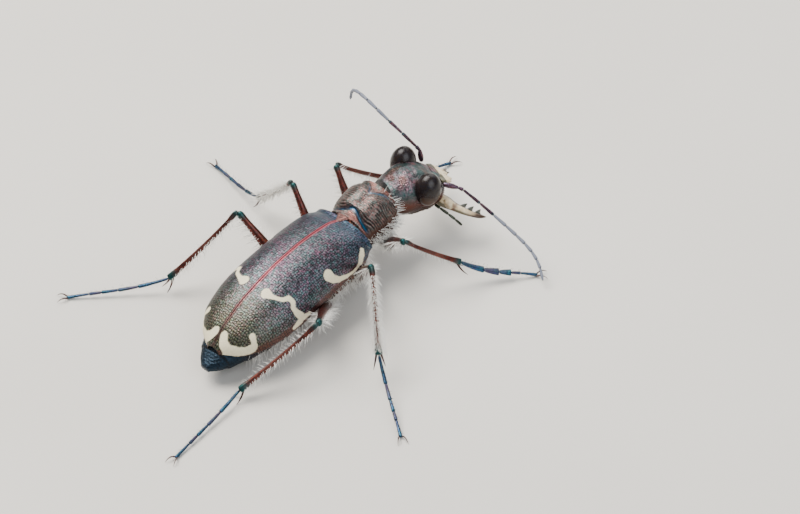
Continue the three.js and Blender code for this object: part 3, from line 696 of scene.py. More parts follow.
def pronotum():
    """A barrel of rounded sections. Each groove is a bell curve about a line that a second bell
    bends towards the middle of the disc; two soft bells raise the lobes beside the middle line;
    the wrinkles are a sine across the back, stronger towards the sides, bent by a little noise."""
    t = np.linspace(0, 1, 200)
    y = PRONOTUM_BACK + (PRONOTUM_FRONT - PRONOTUM_BACK) * t
    rings = section(y, -0.1, PRONOTUM_HALF * pro_half(t), pro_top(t) + 0.1, 1.12, 260, 2.2)
    normal = outward(rings)
    ts, z = t[:, None] + 0 * rings[..., 0], rings[..., 2]
    x = rings[..., 0] + 0.04 + 0.14 * ts
    above = smooth(0.0, 0.45, z)
    rear_line = 0.085 + 0.155 * bell(x, 0.55)
    front_line = 0.93 - 0.16 * bell(x, 0.28) - 0.05 * bell(x, 0.7)
    rear, front = bell(ts - rear_line, 0.032), bell(ts - front_line, 0.028)
    disc = smooth(0.03, 0.07, ts - rear_line) * smooth(0.03, 0.07, front_line - ts)
    middle = bell(x, 0.03) * disc
    lobes = bell(np.abs(x) - 0.55, 0.42)
    lobes = lobes * smooth(0, 0.2, ts - rear_line) * smooth(0, 0.2, front_line - ts)
    edge = bell(z - 0.3, 0.035) * smooth(0.1, 0.2, ts) * smooth(0.96, 0.9, ts)
    far = smooth(0.25, 0.8, np.abs(x))
    phase = rings[..., 1] / 0.12 + 1.1 * waves(x * 2.6, rings[..., 1] * 2.2, 2) + 0.8 * np.abs(x)
    wrinkle = np.sin(2 * np.pi * phase) * smooth(-1.1, 0.3, waves(x * 7, rings[..., 1] * 6, 33))
    dome, _ = domes(rings[..., 1] / 0.085, x / 0.085, 11)
    collar = smooth(0, 0.03, rear_line - 0.03 - ts) + smooth(0, 0.02, ts - front_line - 0.025)
    lift = above * (0.019 * wrinkle * disc * far + 0.016 * dome * disc * (1 - 0.6 * far))
    lift += above * (-0.085 * rear * (0.7 + 0.3 * far) - 0.06 * front - 0.022 * middle + 0.07 * lobes
                     + 0.03 * collar)
    lift += -0.03 * bell(x, 0.14) * disc + 0.022 * edge
    side_phase = rings[..., 1] / 0.13 + 0.5 * z + 0.3 * waves(ts * 6, z * 3, 21)
    lift += (1 - above) * 0.012 * np.sin(2 * np.pi * side_phase)
    lift += 0.014 * dome * np.clip(collar, 0, 1) * above
    rings = rings + normal * lift[..., None]
    tone = blank(rings)
    patchy = 0.75 + 0.5 * waves(x * 5, ts * 9, 25)
    blue = 0.9 * rear + 0.9 * front * smooth(0.75, 0.35, np.abs(x)) + 0.35 * middle * smooth(0.5, 0.8, ts)
    tone[..., 0] = np.clip(above * blue * patchy, 0, 1)
    pink = np.clip(0.4 + 0.8 * waves(x * 4, ts * 14, 5), 0, 0.85)
    side_pink = 0.55 * (1 - above) * smooth(-0.2, 0.6, waves(ts * 5, z * 2.5, 8))
    tone[..., 1] = np.clip(above * collar * pink + side_pink, 0, 1)
    tone[..., 2] = np.clip((1 - above) * 0.9 + 0.3 * far * disc, 0, 1)
    # Painted shade, in the fourth channel: the wrinkles' valleys, the furrows between grains, the two grooves
    # and the whole underside are darkened.
    furrow = 1 - smooth(0, 0.55, dome)
    valley_shade = 0.7 * smooth(0.2, -0.8, wrinkle) * (0.35 + 0.65 * far) + 0.95 * furrow * (1 - 0.6 * far)
    tone[..., 3] = np.clip(above * disc * valley_shade + 0.9 * furrow * np.clip(collar, 0, 1) * above
                           + 0.45 * rear * above + 0.75 * front * smooth(0.4, 0.8, np.abs(x)) * above
                           + 0.35 * (1 - above), 0, 0.9)
    return rings, tone


pro_rings, pro_tone = pronotum()
piece("pronotum", placed([skin(pro_rings, pro_tone)], from_body), PRONOTUM, "cuticle", ["prothorax"])


def scutellum():
    """A small triangle with rounded edges, highest in the middle of its base."""
    t = np.linspace(0, 1, 30)
    y = -0.34 + 0.56 * t
    half = 0.33 * (1 - t) ** 0.9 + 0.012
    rings = section(y, 0.86 + 0.1 * t, half, 0.10 + 0.06 * (1 - t), 0.12, 40, 3.2)
    tone = blank(rings)
    dome, _ = domes(rings[..., 1] / 0.08, rings[..., 0] / 0.08, 27)
    tone[..., 1] = 0.7
    # Painted shade in the furrows between its grains.
    tone[..., 3] = 0.8 * (1 - smooth(0, 1, dome))
    return rings, tone


piece("small_shield", placed([skin(*scutellum())], from_body), PRONOTUM, "cuticle", ["scutellum"])

# %% [markdown]
# ## Trunk
#
# Under the wing cases the thorax carries the legs and the abdomen tapers to a blunt tip of its
# own, past the wing cases. Its plates overlap like roof tiles: each ring steps out a little
# before the next one starts, which is a saw-tooth along the body. The tip is granulate and
# darkens to blue-black.

# %% Thorax and abdomen
WAIST, ABDOMEN_TIP = 2.6, 9.25
trunk_half = spline([(-0.3, 1.25), (0.2, 1.62), (1.5, 1.86), (3, 1.8), (5, 1.82), (6.8, 1.6), (8.2, 1.02),
                     (8.9, 0.6), (9.25, 0.22)])
trunk_top = spline([(-0.3, 0.72), (0.3, 0.92), (1.5, 1.2), (4, 1.3), (6, 1.02), (7.6, 0.5), (8.5, 0.02),
                    (9.25, -0.38)])
trunk_floor = spline([(-0.3, -1.1), (0.4, -1.4), (1.6, -1.52), (3, -1.5), (5, -1.34), (7.2, -1.08),
                      (8.6, -0.86), (9.25, -0.66)])


def trunk(start, end, plates, count):
    """Rounded sections with a saw-tooth step at each plate's hind edge, and small grains."""
    y = np.linspace(start, end, count)
    top, under = trunk_top(y), trunk_floor(y)
    line = np.minimum(-0.15, (top + under) / 2)
    rings = section(y, line, trunk_half(y), top - line, line - under, 200)
    normal = outward(rings)
    x, ys = rings[..., 0], rings[..., 1]
    lift, seam = np.zeros(x.shape), np.zeros(x.shape)
    for a, b in zip(plates[:-1], plates[1:]):
        inside = (ys >= a) & (ys < b)
        t = (ys - a) / (b - a)
        lift += inside * (0.05 * t ** 2)
        seam += bell(ys - b, 0.03)
    girth = np.cumsum(np.linalg.norm(np.diff(rings, axis=1, prepend=rings[:, :1]), axis=2), axis=1)
    dome, _ = domes(ys / 0.115, girth / 0.115, 6)
    lift += 0.018 * dome - 0.03 * seam
    rings = rings + normal * lift[..., None]
    tone = blank(rings)
    # Fourth channel: dark seams at the plates' hind edges, and painted shade in the furrows between grains.
    tone[..., 3] = np.clip(0.8 * seam + 0.8 * (1 - smooth(0, 0.6, dome)), 0, 1)
    return rings, tone


thorax_rings, thorax_tone = trunk(-0.39, WAIST, [-0.39, 0.45, 1.5, 2.6], 90)
thorax_tone[..., 1] = 0.45 * smooth(0, 0.7, waves(thorax_rings[..., 1] * 2, thorax_rings[..., 2] * 2, 3))
abdomen_rings, abdomen_tone = trunk(WAIST + 0.02, ABDOMEN_TIP, [2.6, 3.7, 4.8, 5.8, 6.8, 7.7, 8.55, 9.5], 190)
abdomen_tone[..., 0] = smooth(5.5, 8.2, abdomen_rings[..., 1])
for name, rings, tone, node in (("thorax_under", thorax_rings, thorax_tone, "pterothorax"),
                                ("abdomen_plates", abdomen_rings, abdomen_tone, "abdomen")):
    piece(name, placed([skin(rings, tone)], from_body), TRUNK_SHELL, "cuticle", [node])

# %% [markdown]
# ## Head
#
# The head is broadest across the eyes and bowed in front. Fine keels run lengthwise beside
# each eye and bend over the brow; the brow itself is a shallow hollow between the feelers. The
# cheeks are keeled too, and shine red-brown. The keels are the sine of the distance across
# the head, their amplitude fading in the middle and behind.

# %% Head and eyes


def head_y(along):
    return -(HEAD_REACH + along)


FACE = 1.12
head_half = spline([(-1.6, 0.86), (-1.2, 1.0), (-0.6, 1.12), (0, 1.06), (0.5, 1.06), (0.9, 0.98),
                    (FACE, 0.84)])
head_top = spline([(-1.6, 0.12), (-1.2, 0.4), (-0.6, 0.66), (0, 0.68), (0.5, 0.54), (0.9, 0.34),
                   (FACE, 0.18)])
head_floor = spline([(-1.6, -1.5), (-1.1, -1.52), (-0.4, -1.5), (0.4, -1.44), (0.9, -1.26), (FACE, -1.0)])


def head_skin():
    """Rounded sections with a hollow brow, a rim beside each eye, lengthwise keels near the eyes
    and on the cheeks, and crosswise wrinkles on the crown."""
    along = np.linspace(-1.6, FACE, 180)
    top, under = head_top(along), head_floor(along)
    line = (top + under) / 2
    rings = section(head_y(along), line, head_half(along), top - line, line - under, 240)
    normal = outward(rings)
    x, z = rings[..., 0], rings[..., 2]
    s = along[:, None] + 0 * x
    above = smooth(0.0, 0.35, z)
    brow = bell(x, 0.5) * smooth(-0.3, 0.35, s) * smooth(1.1, 0.8, s)
    rim = bell(np.abs(x) - 0.78, 0.1) * smooth(-0.8, -0.4, s) * smooth(0.75, 0.4, s)
    seam = bell(s - 0.86 - 0.12 * np.abs(x), 0.03) * above
    bend = 0.12 * waves(x * 3, s * 2.5, 2)
    keel = np.sin(2 * np.pi * (np.abs(x) + 0.18 * np.abs(s) ** 2 + bend) / 0.075)
    beside = smooth(0.3, 0.6, np.abs(x)) * smooth(-1.0, -0.5, s) * smooth(1.0, 0.7, s)
    crown = np.sin(2 * np.pi * (s + 0.3 * waves(x * 4, s * 3, 7) + 0.18 * x ** 2) / 0.09)
    crown = crown * smooth(0.2, -0.4, s)
    cheek = np.sin(2 * np.pi * (z + 0.25 * s + 0.12 * waves(s * 3, z * 3, 4)) / 0.1)
    cheek = cheek * (1 - above) * smooth(-0.9, -0.3, s)
    dome, _ = domes(s / 0.082, x / 0.082, 17)
    lift = (0.014 * dome * above * (1 - 0.6 * beside) - 0.14 * brow + 0.07 * rim - 0.035 * seam
            + 0.011 * keel * above * beside)
    lift += 0.008 * crown * above * (1 - 0.6 * beside) + 0.012 * cheek
    lift += 0.02 * waves(x * 2.5, s * 2.5, 9) * above
    rings = rings + normal * lift[..., None]
    tone = blank(rings)
    green = smooth(-0.1, 0.5, waves(x * 2.2 + 3, s * 2.4, 12) + 0.25 * brow)
    tone[..., 0] = np.clip(0.7 * green * above + 0.7 * seam + 0.5 * (1 - above) * smooth(-0.2, -0.9, s), 0, 1)
    gold = smooth(0.1, 0.6, waves(x * 2.6 - 2, s * 3.0, 40)) * above
    tone[..., 1] = np.clip((1 - above) * 0.9 * smooth(-0.1, -0.7, z) + 0.55 * rim + 0.5 * gold, 0, 1)
    tone[..., 2] = np.clip((1 - above) * smooth(-0.6, -1.3, z), 0, 1)
    # Painted shade, in the fourth channel: the valleys between the keels and the crown's wrinkles, the
    # cheeks' valleys, the furrows between grains and the whole underside are darkened; the seam before the
    # face is a dark line.
    keel_and_crown_shade = 0.4 * smooth(0.2, -0.9, keel) * beside * above
    keel_and_crown_shade = keel_and_crown_shade + 0.3 * smooth(0.2, -0.9, crown) * above * smooth(0.1, -0.4, s)
    furrow = 0.9 * (1 - smooth(0, 0.55, dome)) * above * (1 - 0.5 * beside)
    tone[..., 3] = np.clip(keel_and_crown_shade + 0.5 * smooth(0, -0.9, cheek) * (1 - above) + 0.6 * seam + furrow
                           + 0.35 * (1 - above), 0, 0.85)
    return rings, tone


head_rings, head_tone = head_skin()
piece("head_shell", placed([skin(head_rings, head_tone)], from_head), HEAD_SHELL, "cuticle", ["head"])

EYE_RADIUS, EYE_CENTRE = np.array([0.58, 0.61, 0.82]), np.array([1.14, 0.0, 0.18])


def ball(count, sides):
    """A sphere of radius 1 as rings round the x axis: cos a along it, sin a round it."""
    a = np.linspace(0.02, np.pi - 0.02, count)[:, None]
    b = np.linspace(0, 2 * np.pi, sides, endpoint=False)[None]
    return np.stack([np.cos(a) + 0 * b, np.sin(a) * np.cos(b), np.sin(a) * np.sin(b)], -1)


def eye_skin(side):
    """A ball on its side, stretched to the eye's three radii; its lower outer part is browner."""
    unit = ball(60, 90)
    rings = unit * EYE_RADIUS * [side, 1, 1] + [side * EYE_CENTRE[0], head_y(0), EYE_CENTRE[2]]
    tone = blank(rings)
    tone[..., 0] = 0.7 * smooth(0.1, -0.7, unit[..., 2]) * smooth(0.2, 0.7, unit[..., 0])
    return skin(rings, tone)


for name, side in SIDES:
    piece(f"round_eye_{name}", placed([eye_skin(side)], from_head), EYE, "eye", [f"eye_{name}"])

# %% [markdown]
# ## Mouth
#
# The upper lip is a pale arched plate with small teeth on its front edge. Under it the jaws
# open: long sickles, ivory outside near the root, dark and shiny along the cutting edge, with
# three stout teeth, a hooked point and an oval pale plate on the root. The palps are short
# jointed feelers below them.

# %% Lip, jaws and palps


def lip():
    """Flat rounded sections that taper forward, with three teeth as cosine waves of the front edge."""
    t = np.linspace(0, 1, 40)
    along = 1.16 + 0.52 * t
    rings = section(head_y(along), 0.04 - 0.2 * t, 0.74 - 0.2 * t * t, 0.13 - 0.08 * t ** 3,
                    0.12 - 0.05 * t, 90, 2.7)
    x = rings[..., 0]
    tooth = 0.07 * np.cos(2 * np.pi * x / 0.36) * smooth(0.6, 1, t)[:, None] * smooth(0.62, 0.4, np.abs(x))
    rings[..., 1] -= tooth
    rings[..., 2] += 0.05 * bell(x, 0.16)
    tone = blank(rings)
    tone[..., 1] = 0.55 * smooth(0.9, 1, t)[:, None] + 0.3 * smooth(0.12, 0, t)[:, None] + 0 * x
    return skin(rings, tone)


lip_skin = lip()
clypeus_along = np.linspace(1.0, 1.22, 16)
clypeus = section(head_y(clypeus_along), 0.09 - 0.2 * (clypeus_along - 1.0), 0.76, 0.11, 0.2, 80, 3)
clypeus_tone = blank(clypeus)
clypeus_tone[..., 2] = 0.9
piece("upper_lip", placed([lip_skin, skin(clypeus, clypeus_tone)], from_head), IVORY, "ivory", ["labrum"])

MANDIBLE_LENGTH = 2.3
SPREAD = {"left": 48, "right": 57}


def jaw(side, spread):
    """A flattened tube along a path whose heading turns from outward to inward with the square of
    the distance, and three curved teeth on its inner side."""
    steps = 60
    t = np.linspace(0, 1, steps)
    turn = np.radians(spread - 44 * t ** 2)
    step = MANDIBLE_LENGTH / steps
    x = side * (0.59 + np.cumsum(np.sin(turn)) * step)
    y = head_y(1.1 + np.cumsum(np.cos(turn)) * step)
    z = -0.97 - 0.4 * t
    path = np.stack([x, y, z], -1)
    radii = 0.115 + 0.225 * (1 - t ** 0.95) + 0.05 * bell(t - 0.12, 0.12)
    radii *= np.sqrt(np.clip((1 - t) * 7, 0.015, 1))
    rings = tube(path, radii, 40, flat=0.62)
    middle = rings.mean(1, keepdims=True)
    ahead = np.gradient(path, axis=0)
    ahead /= np.linalg.norm(ahead, axis=1, keepdims=True)
    outer = np.cross(ahead, [0, 0, 1]) * -side
    reach = ((rings - middle) * outer[:, None]).sum(2) / radii[:, None]
    tone = blank(rings)
    dark = smooth(-0.1, -0.6, reach) + smooth(0.68, 0.8, t)[:, None] + 0.8 * smooth(0.78, 0.92, reach)
    tone[..., 0] = np.clip(dark, 0, 1)
    tone[..., 1] = 0.75 * bell(t - 0.34, 0.035)[:, None] + 0.35 * smooth(0.5, 0.7, t)[:, None]
    skins = [skin(rings, tone)]
    knob, at = ball(24, 36), 13  # the oval plate on the jaw's root sits on this ring
    plate = path[at] + outer[at] * 0.13 + [0, 0, 0.1]
    plate = plate + knob @ np.stack([ahead[at] * 0.3, outer[at] * 0.23, [0, 0, 0.2]])
    plate_tone = blank(plate)
    plate_tone[..., 1] = 0.8 * smooth(0.6, 0.9, np.abs(knob[..., 0])) + 0.5 * smooth(0.75, 1.0, knob[..., 1])
    skins.append(skin(plate, plate_tone))
    for place_on, length in ((0.46, 0.26), (0.63, 0.28), (0.8, 0.24)):
        i = int(place_on * steps)
        root = path[i] - outer[i] * radii[i] * 0.3
        s = np.linspace(0, 1, 14)[:, None]
        line = root - outer[i] * s * (radii[i] * 0.8 + length) + (ahead[i] * 0.16 + [0, 0, 0.1]) * s ** 2
        tooth = tube(line, 0.15 * (1 - s[:, 0] ** 1.8) + 0.02, 16, flat=0.8)
        black = blank(tooth)
        black[..., 0] = 1
        skins.append(skin(tooth, black))
    return skins


def heading_to(turn, lift):
    """The unit vector `turn` degrees to the side of straight ahead, raised by `lift` degrees."""
    turn, lift = math.radians(turn), math.radians(lift)
    return np.array([math.sin(turn) * math.cos(lift), -math.cos(turn) * math.cos(lift), math.sin(lift)])


def rounded(s, near_end, far_end, least):
    """A factor that rounds off both ends of a link: the root of the distance from its end, never
    under the root of the least."""
    return np.sqrt(np.clip(np.minimum(s * near_end, (1 - s) * far_end), least, 1))


def palp(root, heading, drop, lengths, radius, tones):
    """Spindle-shaped joints end to end: each one's radius is a power of a sine, and the heading
    swings back a little at every joint."""
    at, skins = np.array(root, float), []
    for i, length in enumerate(lengths):
        ahead = heading_to(heading - 9 * i * np.sign(heading), -(drop + 8 * i))
        s = np.linspace(0, 1, 18)
        spindle = 0.55 + 0.45 * np.sin(np.pi * np.clip(s * 0.75 + 0.1, 0, 1)) ** 0.7
        radii = radius * spindle * (1 - 0.05 * i) * rounded(s, 14, 14, 0.05)
        rings = tube(at + ahead * length * s[:, None], radii, 20)
        tone = blank(rings)
        tone[..., tones[i]] = 1
        skins.append(skin(rings, tone))
        at = at + ahead * length * 0.97
    return skins


for name, side in SIDES:
    outer = palp([side * 0.62, head_y(0.86), -1.2], side * 60, 14, [0.3, 0.5, 0.4, 0.45], 0.075, [2, 2, 2, 0])
    inner = palp([side * 0.24, head_y(0.8), -1.3], side * 12, 14, [0.4, 0.6, 0.45], 0.08, [3, 3, 2])
    for what, skins, node in (("jaw", jaw(side, SPREAD[name]), "mandible"),
                              ("outer_palp", outer, "maxillary_palp"), ("inner_palp", inner, "labial_palp")):
        piece(f"{what}_{name}", placed(skins, from_head), IVORY, "ivory", [f"{node}_{name}"])

# %% [markdown]
# ## Feelers
#
# Eleven joints each. The first is a thick club, the second a bead; the third and fourth are
# long, bare and shiny; from the fifth on a grey down dulls them. Every joint is a slim vase:
# narrow at its root, widest near its end, so the joints read as a string of links.

# %% Feelers
JOINT_LENGTHS = [0.75, 0.24, 1.0, 0.84, 0.77, 0.64, 0.57, 0.5, 0.45, 0.45, 0.6]
JOINT_RADII = [0.125, 0.085, 0.075, 0.075, 0.078, 0.08, 0.08, 0.078, 0.075, 0.072, 0.066]
# Degrees for each joint: outward from straight ahead, and up from the plane of the head.
FEELER_POSE = {
    "left": ([180, 156, 148, 132, 117, 105, 95, 85, 75, 65, 55],
             [73, 43, 41, 33, 24, 13, -1, -16, -32, -48, -64]),
    "right": ([41, 49, 59, 61, 63, 65, 68, 73, 81, 90, 100],
              [-1, -9, -20, -21, -20, -20, -20, -22, -26, -31, -37]),
}


def feeler(side, heading, lifts):
    """Vase-shaped joints end to end, each in the direction that its heading and lift give."""
    at, skins = np.array([side * 0.95, head_y(0.88), 0.14]), []
    for i, (length, radius) in enumerate(zip(JOINT_LENGTHS, JOINT_RADII)):
        ahead = heading_to(side * heading[i], lifts[i])
        s = np.linspace(0, 1, 26)
        if i == 0:
            vase = 0.55 + 0.5 * np.sin(np.pi * s ** 0.8)
        else:
            vase = 0.86 + 0.22 * smooth(0.1, 0.85, s) * smooth(1.08, 0.92, s)
        vase = vase * rounded(s, 16, 16, 0.04)
        if i == len(JOINT_LENGTHS) - 1:
            vase = vase * (1 - 0.5 * smooth(0.6, 1, s))
        rings = tube(at + ahead * length * s[:, None], radius * vase, 20)
        tone = blank(rings)
        tone[..., 0] = 0.0 if i < 4 else 0.92
        tone[..., 1] = 0.7 * (smooth(0.8, 0.98, s)[:, None] if 1 < i < 4 else 0)
        tone[..., 2] = 0.9 * np.clip(smooth(0.07, 0.02, s) + smooth(0.94, 0.98, s), 0, 1)[:, None]
        skins.append(skin(rings, tone))
        at = at + ahead * length * 0.985
    return skins


for name, side in SIDES:
    skins = placed(feeler(side, *FEELER_POSE[name]), from_head)
    piece(f"feeler_{name}", skins, FEELER, "feeler", [f"antenna_{name}"])

# %% [markdown]
# ## Legs
#
# Every leg has the same links: hip, a small bead, thigh, shin with two spurs, five foot joints
# and two claws. The thigh is thick near its root and slim at the knee, where it turns
# blue-green. The shin is four-keeled and flares at its end. Each foot joint is a slim wedge,
# wider at its far end, where it hangs over the next. The front feet of a male have three broad
# joints. The feet stand flat on the floor.

# %% Legs
# Of each leg, in millimetres: hip (in the trunk's frame), knee, ankle and foot tip (in the
# floor's), and how stout it is.
LEGS = {
    "front_left": ([0.62, -1.75, -1.15], [2.95, -2.75, 3.2], [2.15, -5.2, 1.08], [1.35, -8.45, 0.16], 0.9),
    "front_right": ([-0.62, -1.75, -1.15], [-3.15, -0.87, 3.38], [-4.44, -3.02, 1.35],
                    [-6.83, -5.5, 0.16], 0.9),
    "middle_left": ([0.78, 0.55, -1.3], [3.17, -0.18, 3.82], [5.77, -0.43, 1.2], [9.6, -1.43, 0.16], 0.92),
    "middle_right": ([-0.78, 0.55, -1.3], [-3.44, 1.53, 3.73], [-5.95, 3.93, 1.55],
                     [-9.35, 6.2, 0.16], 0.92),
    "hind_left": ([0.72, 2.35, -1.35], [3.7, 2.84, 3.86], [5.41, 5.9, 0.92], [8.73, 9.25, 0.16], 1.0),
    "hind_right": ([-0.72, 2.35, -1.35], [-3.57, 5.24, 3.0], [-1.95, 8.95, 0.62],
                   [-2.42, 13.65, 0.16], 1.0),
}
FOOT_SHARES = [0, 0.3, 0.5, 0.66, 0.78, 1]


def unit(v):
    return v / np.linalg.norm(v, axis=-1, keepdims=True)


def axes_of(span):
    """Unit vectors along a link, level across it, and over both."""
    ahead = unit(span)
    across = unit(np.cross(ahead, [0, 0, 1.0]))
    return ahead, across, np.cross(across, ahead)


def toned(rings, red=0.0, green=0.0, blue=0.0, dark=0.0):
    """Layer amounts along a tube: each is one number per ring, or one for all of them."""
    tone = blank(rings)
    for k, amount in enumerate((red, green, blue, dark)):
        tone[..., k] = np.broadcast_to(amount, (len(rings),))[:, None]
    return tone


def hip_point(coxa):
    x, y, z = coxa
    return np.array([x + np.sign(x) * 0.34, y + 0.1, z - 0.5])


def hip_tube(coxa, end_radii):
    """A rounded cone out of the thorax that turns outward to the hip joint along a parabola; gives
    back its rings, its middle line and the share of the way along."""
    s = np.linspace(0, 1, 40)[:, None]
    start, middle = np.array(coxa) + [0, 0, 0.5], np.array(coxa) + [0, 0, -0.25]
    path = (1 - s) ** 2 * start + 2 * s * (1 - s) * middle + s ** 2 * hip_point(coxa)
    radii = spline([(0, 0.4), (0.25, 0.47), (0.6, 0.4), (0.85, 0.29), *end_radii])(s[:, 0])
    return tube(path, radii, 40, flat=1.05, up=(0, 1, 0)), path, s


def hip(coxa):
    """The hip with its rounded end and a dark seam before it."""
    rings, _, s = hip_tube(coxa, [(0.97, 0.22), (1, 0.1)])
    seam = bell(s[:, 0] - 0.84, 0.03)
    return skin(rings, toned(rings, red=0.25, green=0.3 * seam, dark=0.6 * seam))


def thigh(start, knee, girth):
    """A tube bowed upward by a parabola, thickest a quarter of the way along, its knee a rounded
    fork; a bead at its root is the small joint between hip and thigh."""
    s = np.linspace(0, 1, 110)
    span = knee - start
    length = np.linalg.norm(span)
    path = start + span * s[:, None] + np.array([0, 0, 1]) * (0.035 * length * 4 * s * (1 - s))[:, None]
    radii = girth * spline([(0, 0.1), (0.03, 0.16), (0.12, 0.235), (0.3, 0.26), (0.6, 0.205), (0.85, 0.15),
                            (0.95, 0.165), (0.985, 0.13), (1, 0.05)])(s)
    rings = tube(path, radii, 32, flat=1.12)
    knee_blue = smooth(0.86, 0.97, s)
    green_base = smooth(0.2, 0.02, s)
    skins = [skin(rings, toned(rings, red=np.clip(0.9 * knee_blue + 0.45 * green_base, 0, 1),
                               dark=0.5 * bell(s - 0.975, 0.012)))]
    t = np.linspace(0, 1, 24)
    ahead = unit(span)
    bead = start + ahead * (t[:, None] * 0.62 - 0.16) + np.array([0, 0, -0.1]) * np.sin(np.pi * t)[:, None]
    bulge = np.sqrt(np.clip(np.sin(np.pi * np.clip(t, 0.01, 0.99)), 0.01, 1))
    bead_rings = tube(bead, girth * 0.215 * bulge, 28)
    skins.append(skin(bead_rings, toned(bead_rings, red=0.35, dark=0.15)))
    return skins


def shin(knee, ankle, girth):
    """A keeled tube, narrow at the knee and flared at its end, cut off square, with two spurs
    under the end."""
    s = np.linspace(0, 1, 110)
    span = ankle - knee
    length = np.linalg.norm(span)
    ahead, across, over = axes_of(span)
    bow = 0.05 * bell(s, 0.12) - 0.015 * length * np.sin(np.pi * s)
    path = knee + span * s[:, None] + over * bow[:, None]
    radii = girth * spline([(0, 0.07), (0.02, 0.12), (0.06, 0.14), (0.14, 0.115), (0.5, 0.125), (0.85, 0.145),
                            (0.97, 0.185), (0.99, 0.18), (1, 0.08)])(s)
    rings = tube(path, radii, 32, flat=0.92, ridges=0.07)
    blue = np.clip(0.75 * smooth(0.12, 0.02, s) + 0.9 * smooth(0.84, 0.97, s), 0, 1)
    skins = [skin(rings, toned(rings, red=blue, blue=0.35 * smooth(0.2, 0.4, s) * smooth(0.8, 0.6, s),
                               dark=0.5 * bell(s - 0.985, 0.01)))]
    t = np.linspace(0, 1, 26)
    for side, reach in ((1, 1.0), (-1, 0.85)):
        root = ankle - ahead * 0.16 + across * side * 0.09 * girth - over * 0.07
        tip = root + (ahead * 0.86 + across * side * 0.24 - over * 0.3) * 0.95 * girth * reach
        line = root + (tip - root) * t[:, None] - over * (0.06 * np.sin(np.pi * t))[:, None]
        line[:, 2] = np.maximum(line[:, 2], 0.06)
        spur = tube(line, 0.045 * (1 - t ** 1.6) + 0.008, 12)
        skins.append(skin(spur, toned(spur, green=0.6)))
    return skins


def foot_path(ankle, tip, share):
    """The foot's middle line: straight on plan, and hanging down soon after the ankle."""
    share = np.asarray(share, float)
    line = ankle + (tip - ankle) * share[:, None]
    line[:, 2] -= 0.35 * (ankle[2] - tip[2]) * np.sin(np.pi * share) * (1 - share)
    return line


def foot(ankle, tip, wide):
    """Five wedges, each wider at its far end and notched there, then two hooked claws."""
    skins = []
    plan = unit((tip - ankle) * [1, 1, 0])
    across = np.array([-plan[1], plan[0], 0])
    for i, (a, b) in enumerate(zip(FOOT_SHARES[:-1], FOOT_SHARES[1:])):
        broad = wide and i < 3
        s = np.linspace(0, 1, 30)
        path = foot_path(ankle, tip, a + (b - a) * (s * 1.03 - (0.02 if i else 0)))
        end = (0.2, 0.225, 0.2)[i] if broad else 0.1 - 0.004 * i
        begin = 0.085 if broad else 0.068
        if i == 4:
            end, begin = 0.088, 0.06
        radii = (begin + (end - begin) * s ** (0.55 if broad else 1.1)) * rounded(s, 12, 22, 0.03)
        rings = tube(path, radii, 24, flat=0.5 if broad else 0.86)
        tone = toned(rings, red=0.35 * (i % 2) + 0.25 * smooth(0.8, 0.3, s),
                     green=0.4 * smooth(0.1, 0, s), dark=0.55 * smooth(0.93, 1, s))
        skins.append(skin(rings, tone))
    t = np.linspace(0, 1, 26)
    for side in (1, -1):
        root = tip - plan * 0.05 + [0, 0, 0.01]
        line = root + plan * (0.5 * t)[:, None] + across * side * (0.05 + 0.19 * t ** 0.7)[:, None]
        line[:, 2] += 0.1 * np.sin(np.pi * t) - 0.055 * t ** 3
        claw = tube(line, 0.034 * (1 - t ** 1.5) + 0.006, 12)
        skins.append(skin(claw, toned(claw, green=0.15, blue=0.55)))
    return skins


joints = {}
for name, (coxa, knee, ankle, tip, girth) in LEGS.items():
    knee, ankle, tip = (np.array(p, float) for p in (knee, ankle, tip))
    start = from_body(hip_point(coxa)[None])[0] - SHIFT
    joints[name] = (start, knee, ankle, tip, girth)
    wide = name.startswith("front")
    for part, skins, frame_of, look, node in (
            ("hip", [hip(coxa)], from_body, (LEG_SHELL, "leg"), "coxa"),
            ("thigh", thigh(start, knee, girth), from_floor, (LEG_SHELL, "leg"), "femur"),
            ("shin", shin(knee, ankle, girth), from_floor, (LEG_SHELL, "leg"), "tibia"),
            ("foot", foot(ankle, tip, wide), from_floor, (FOOT_SHELL, "foot"), "tarsus")):
        piece(f"{part}_{name}", placed(skins, frame_of), *look, [f"{node}_{name}"])
print(len(LEGS), "legs")

# %% [markdown]
# ## Hair
#
# Tiger beetles wear stiff white hairs: a brush along the sides of the body and on the hips,
# rows on the thighs and shins, and dark bristles under the feet. Particle hair would be lost
# when the meshes are saved, so each hair is a real three-sided spike: a few rings of three
# points carried along a bent line that leans with the surface and tapers to a point. All hairs
# of one coat are made at once, as one array. Their texture map is a small patch for each hair
# at its root's place on the unrolled skin.

# %% Hair coats
HAIR_RINGS = 5


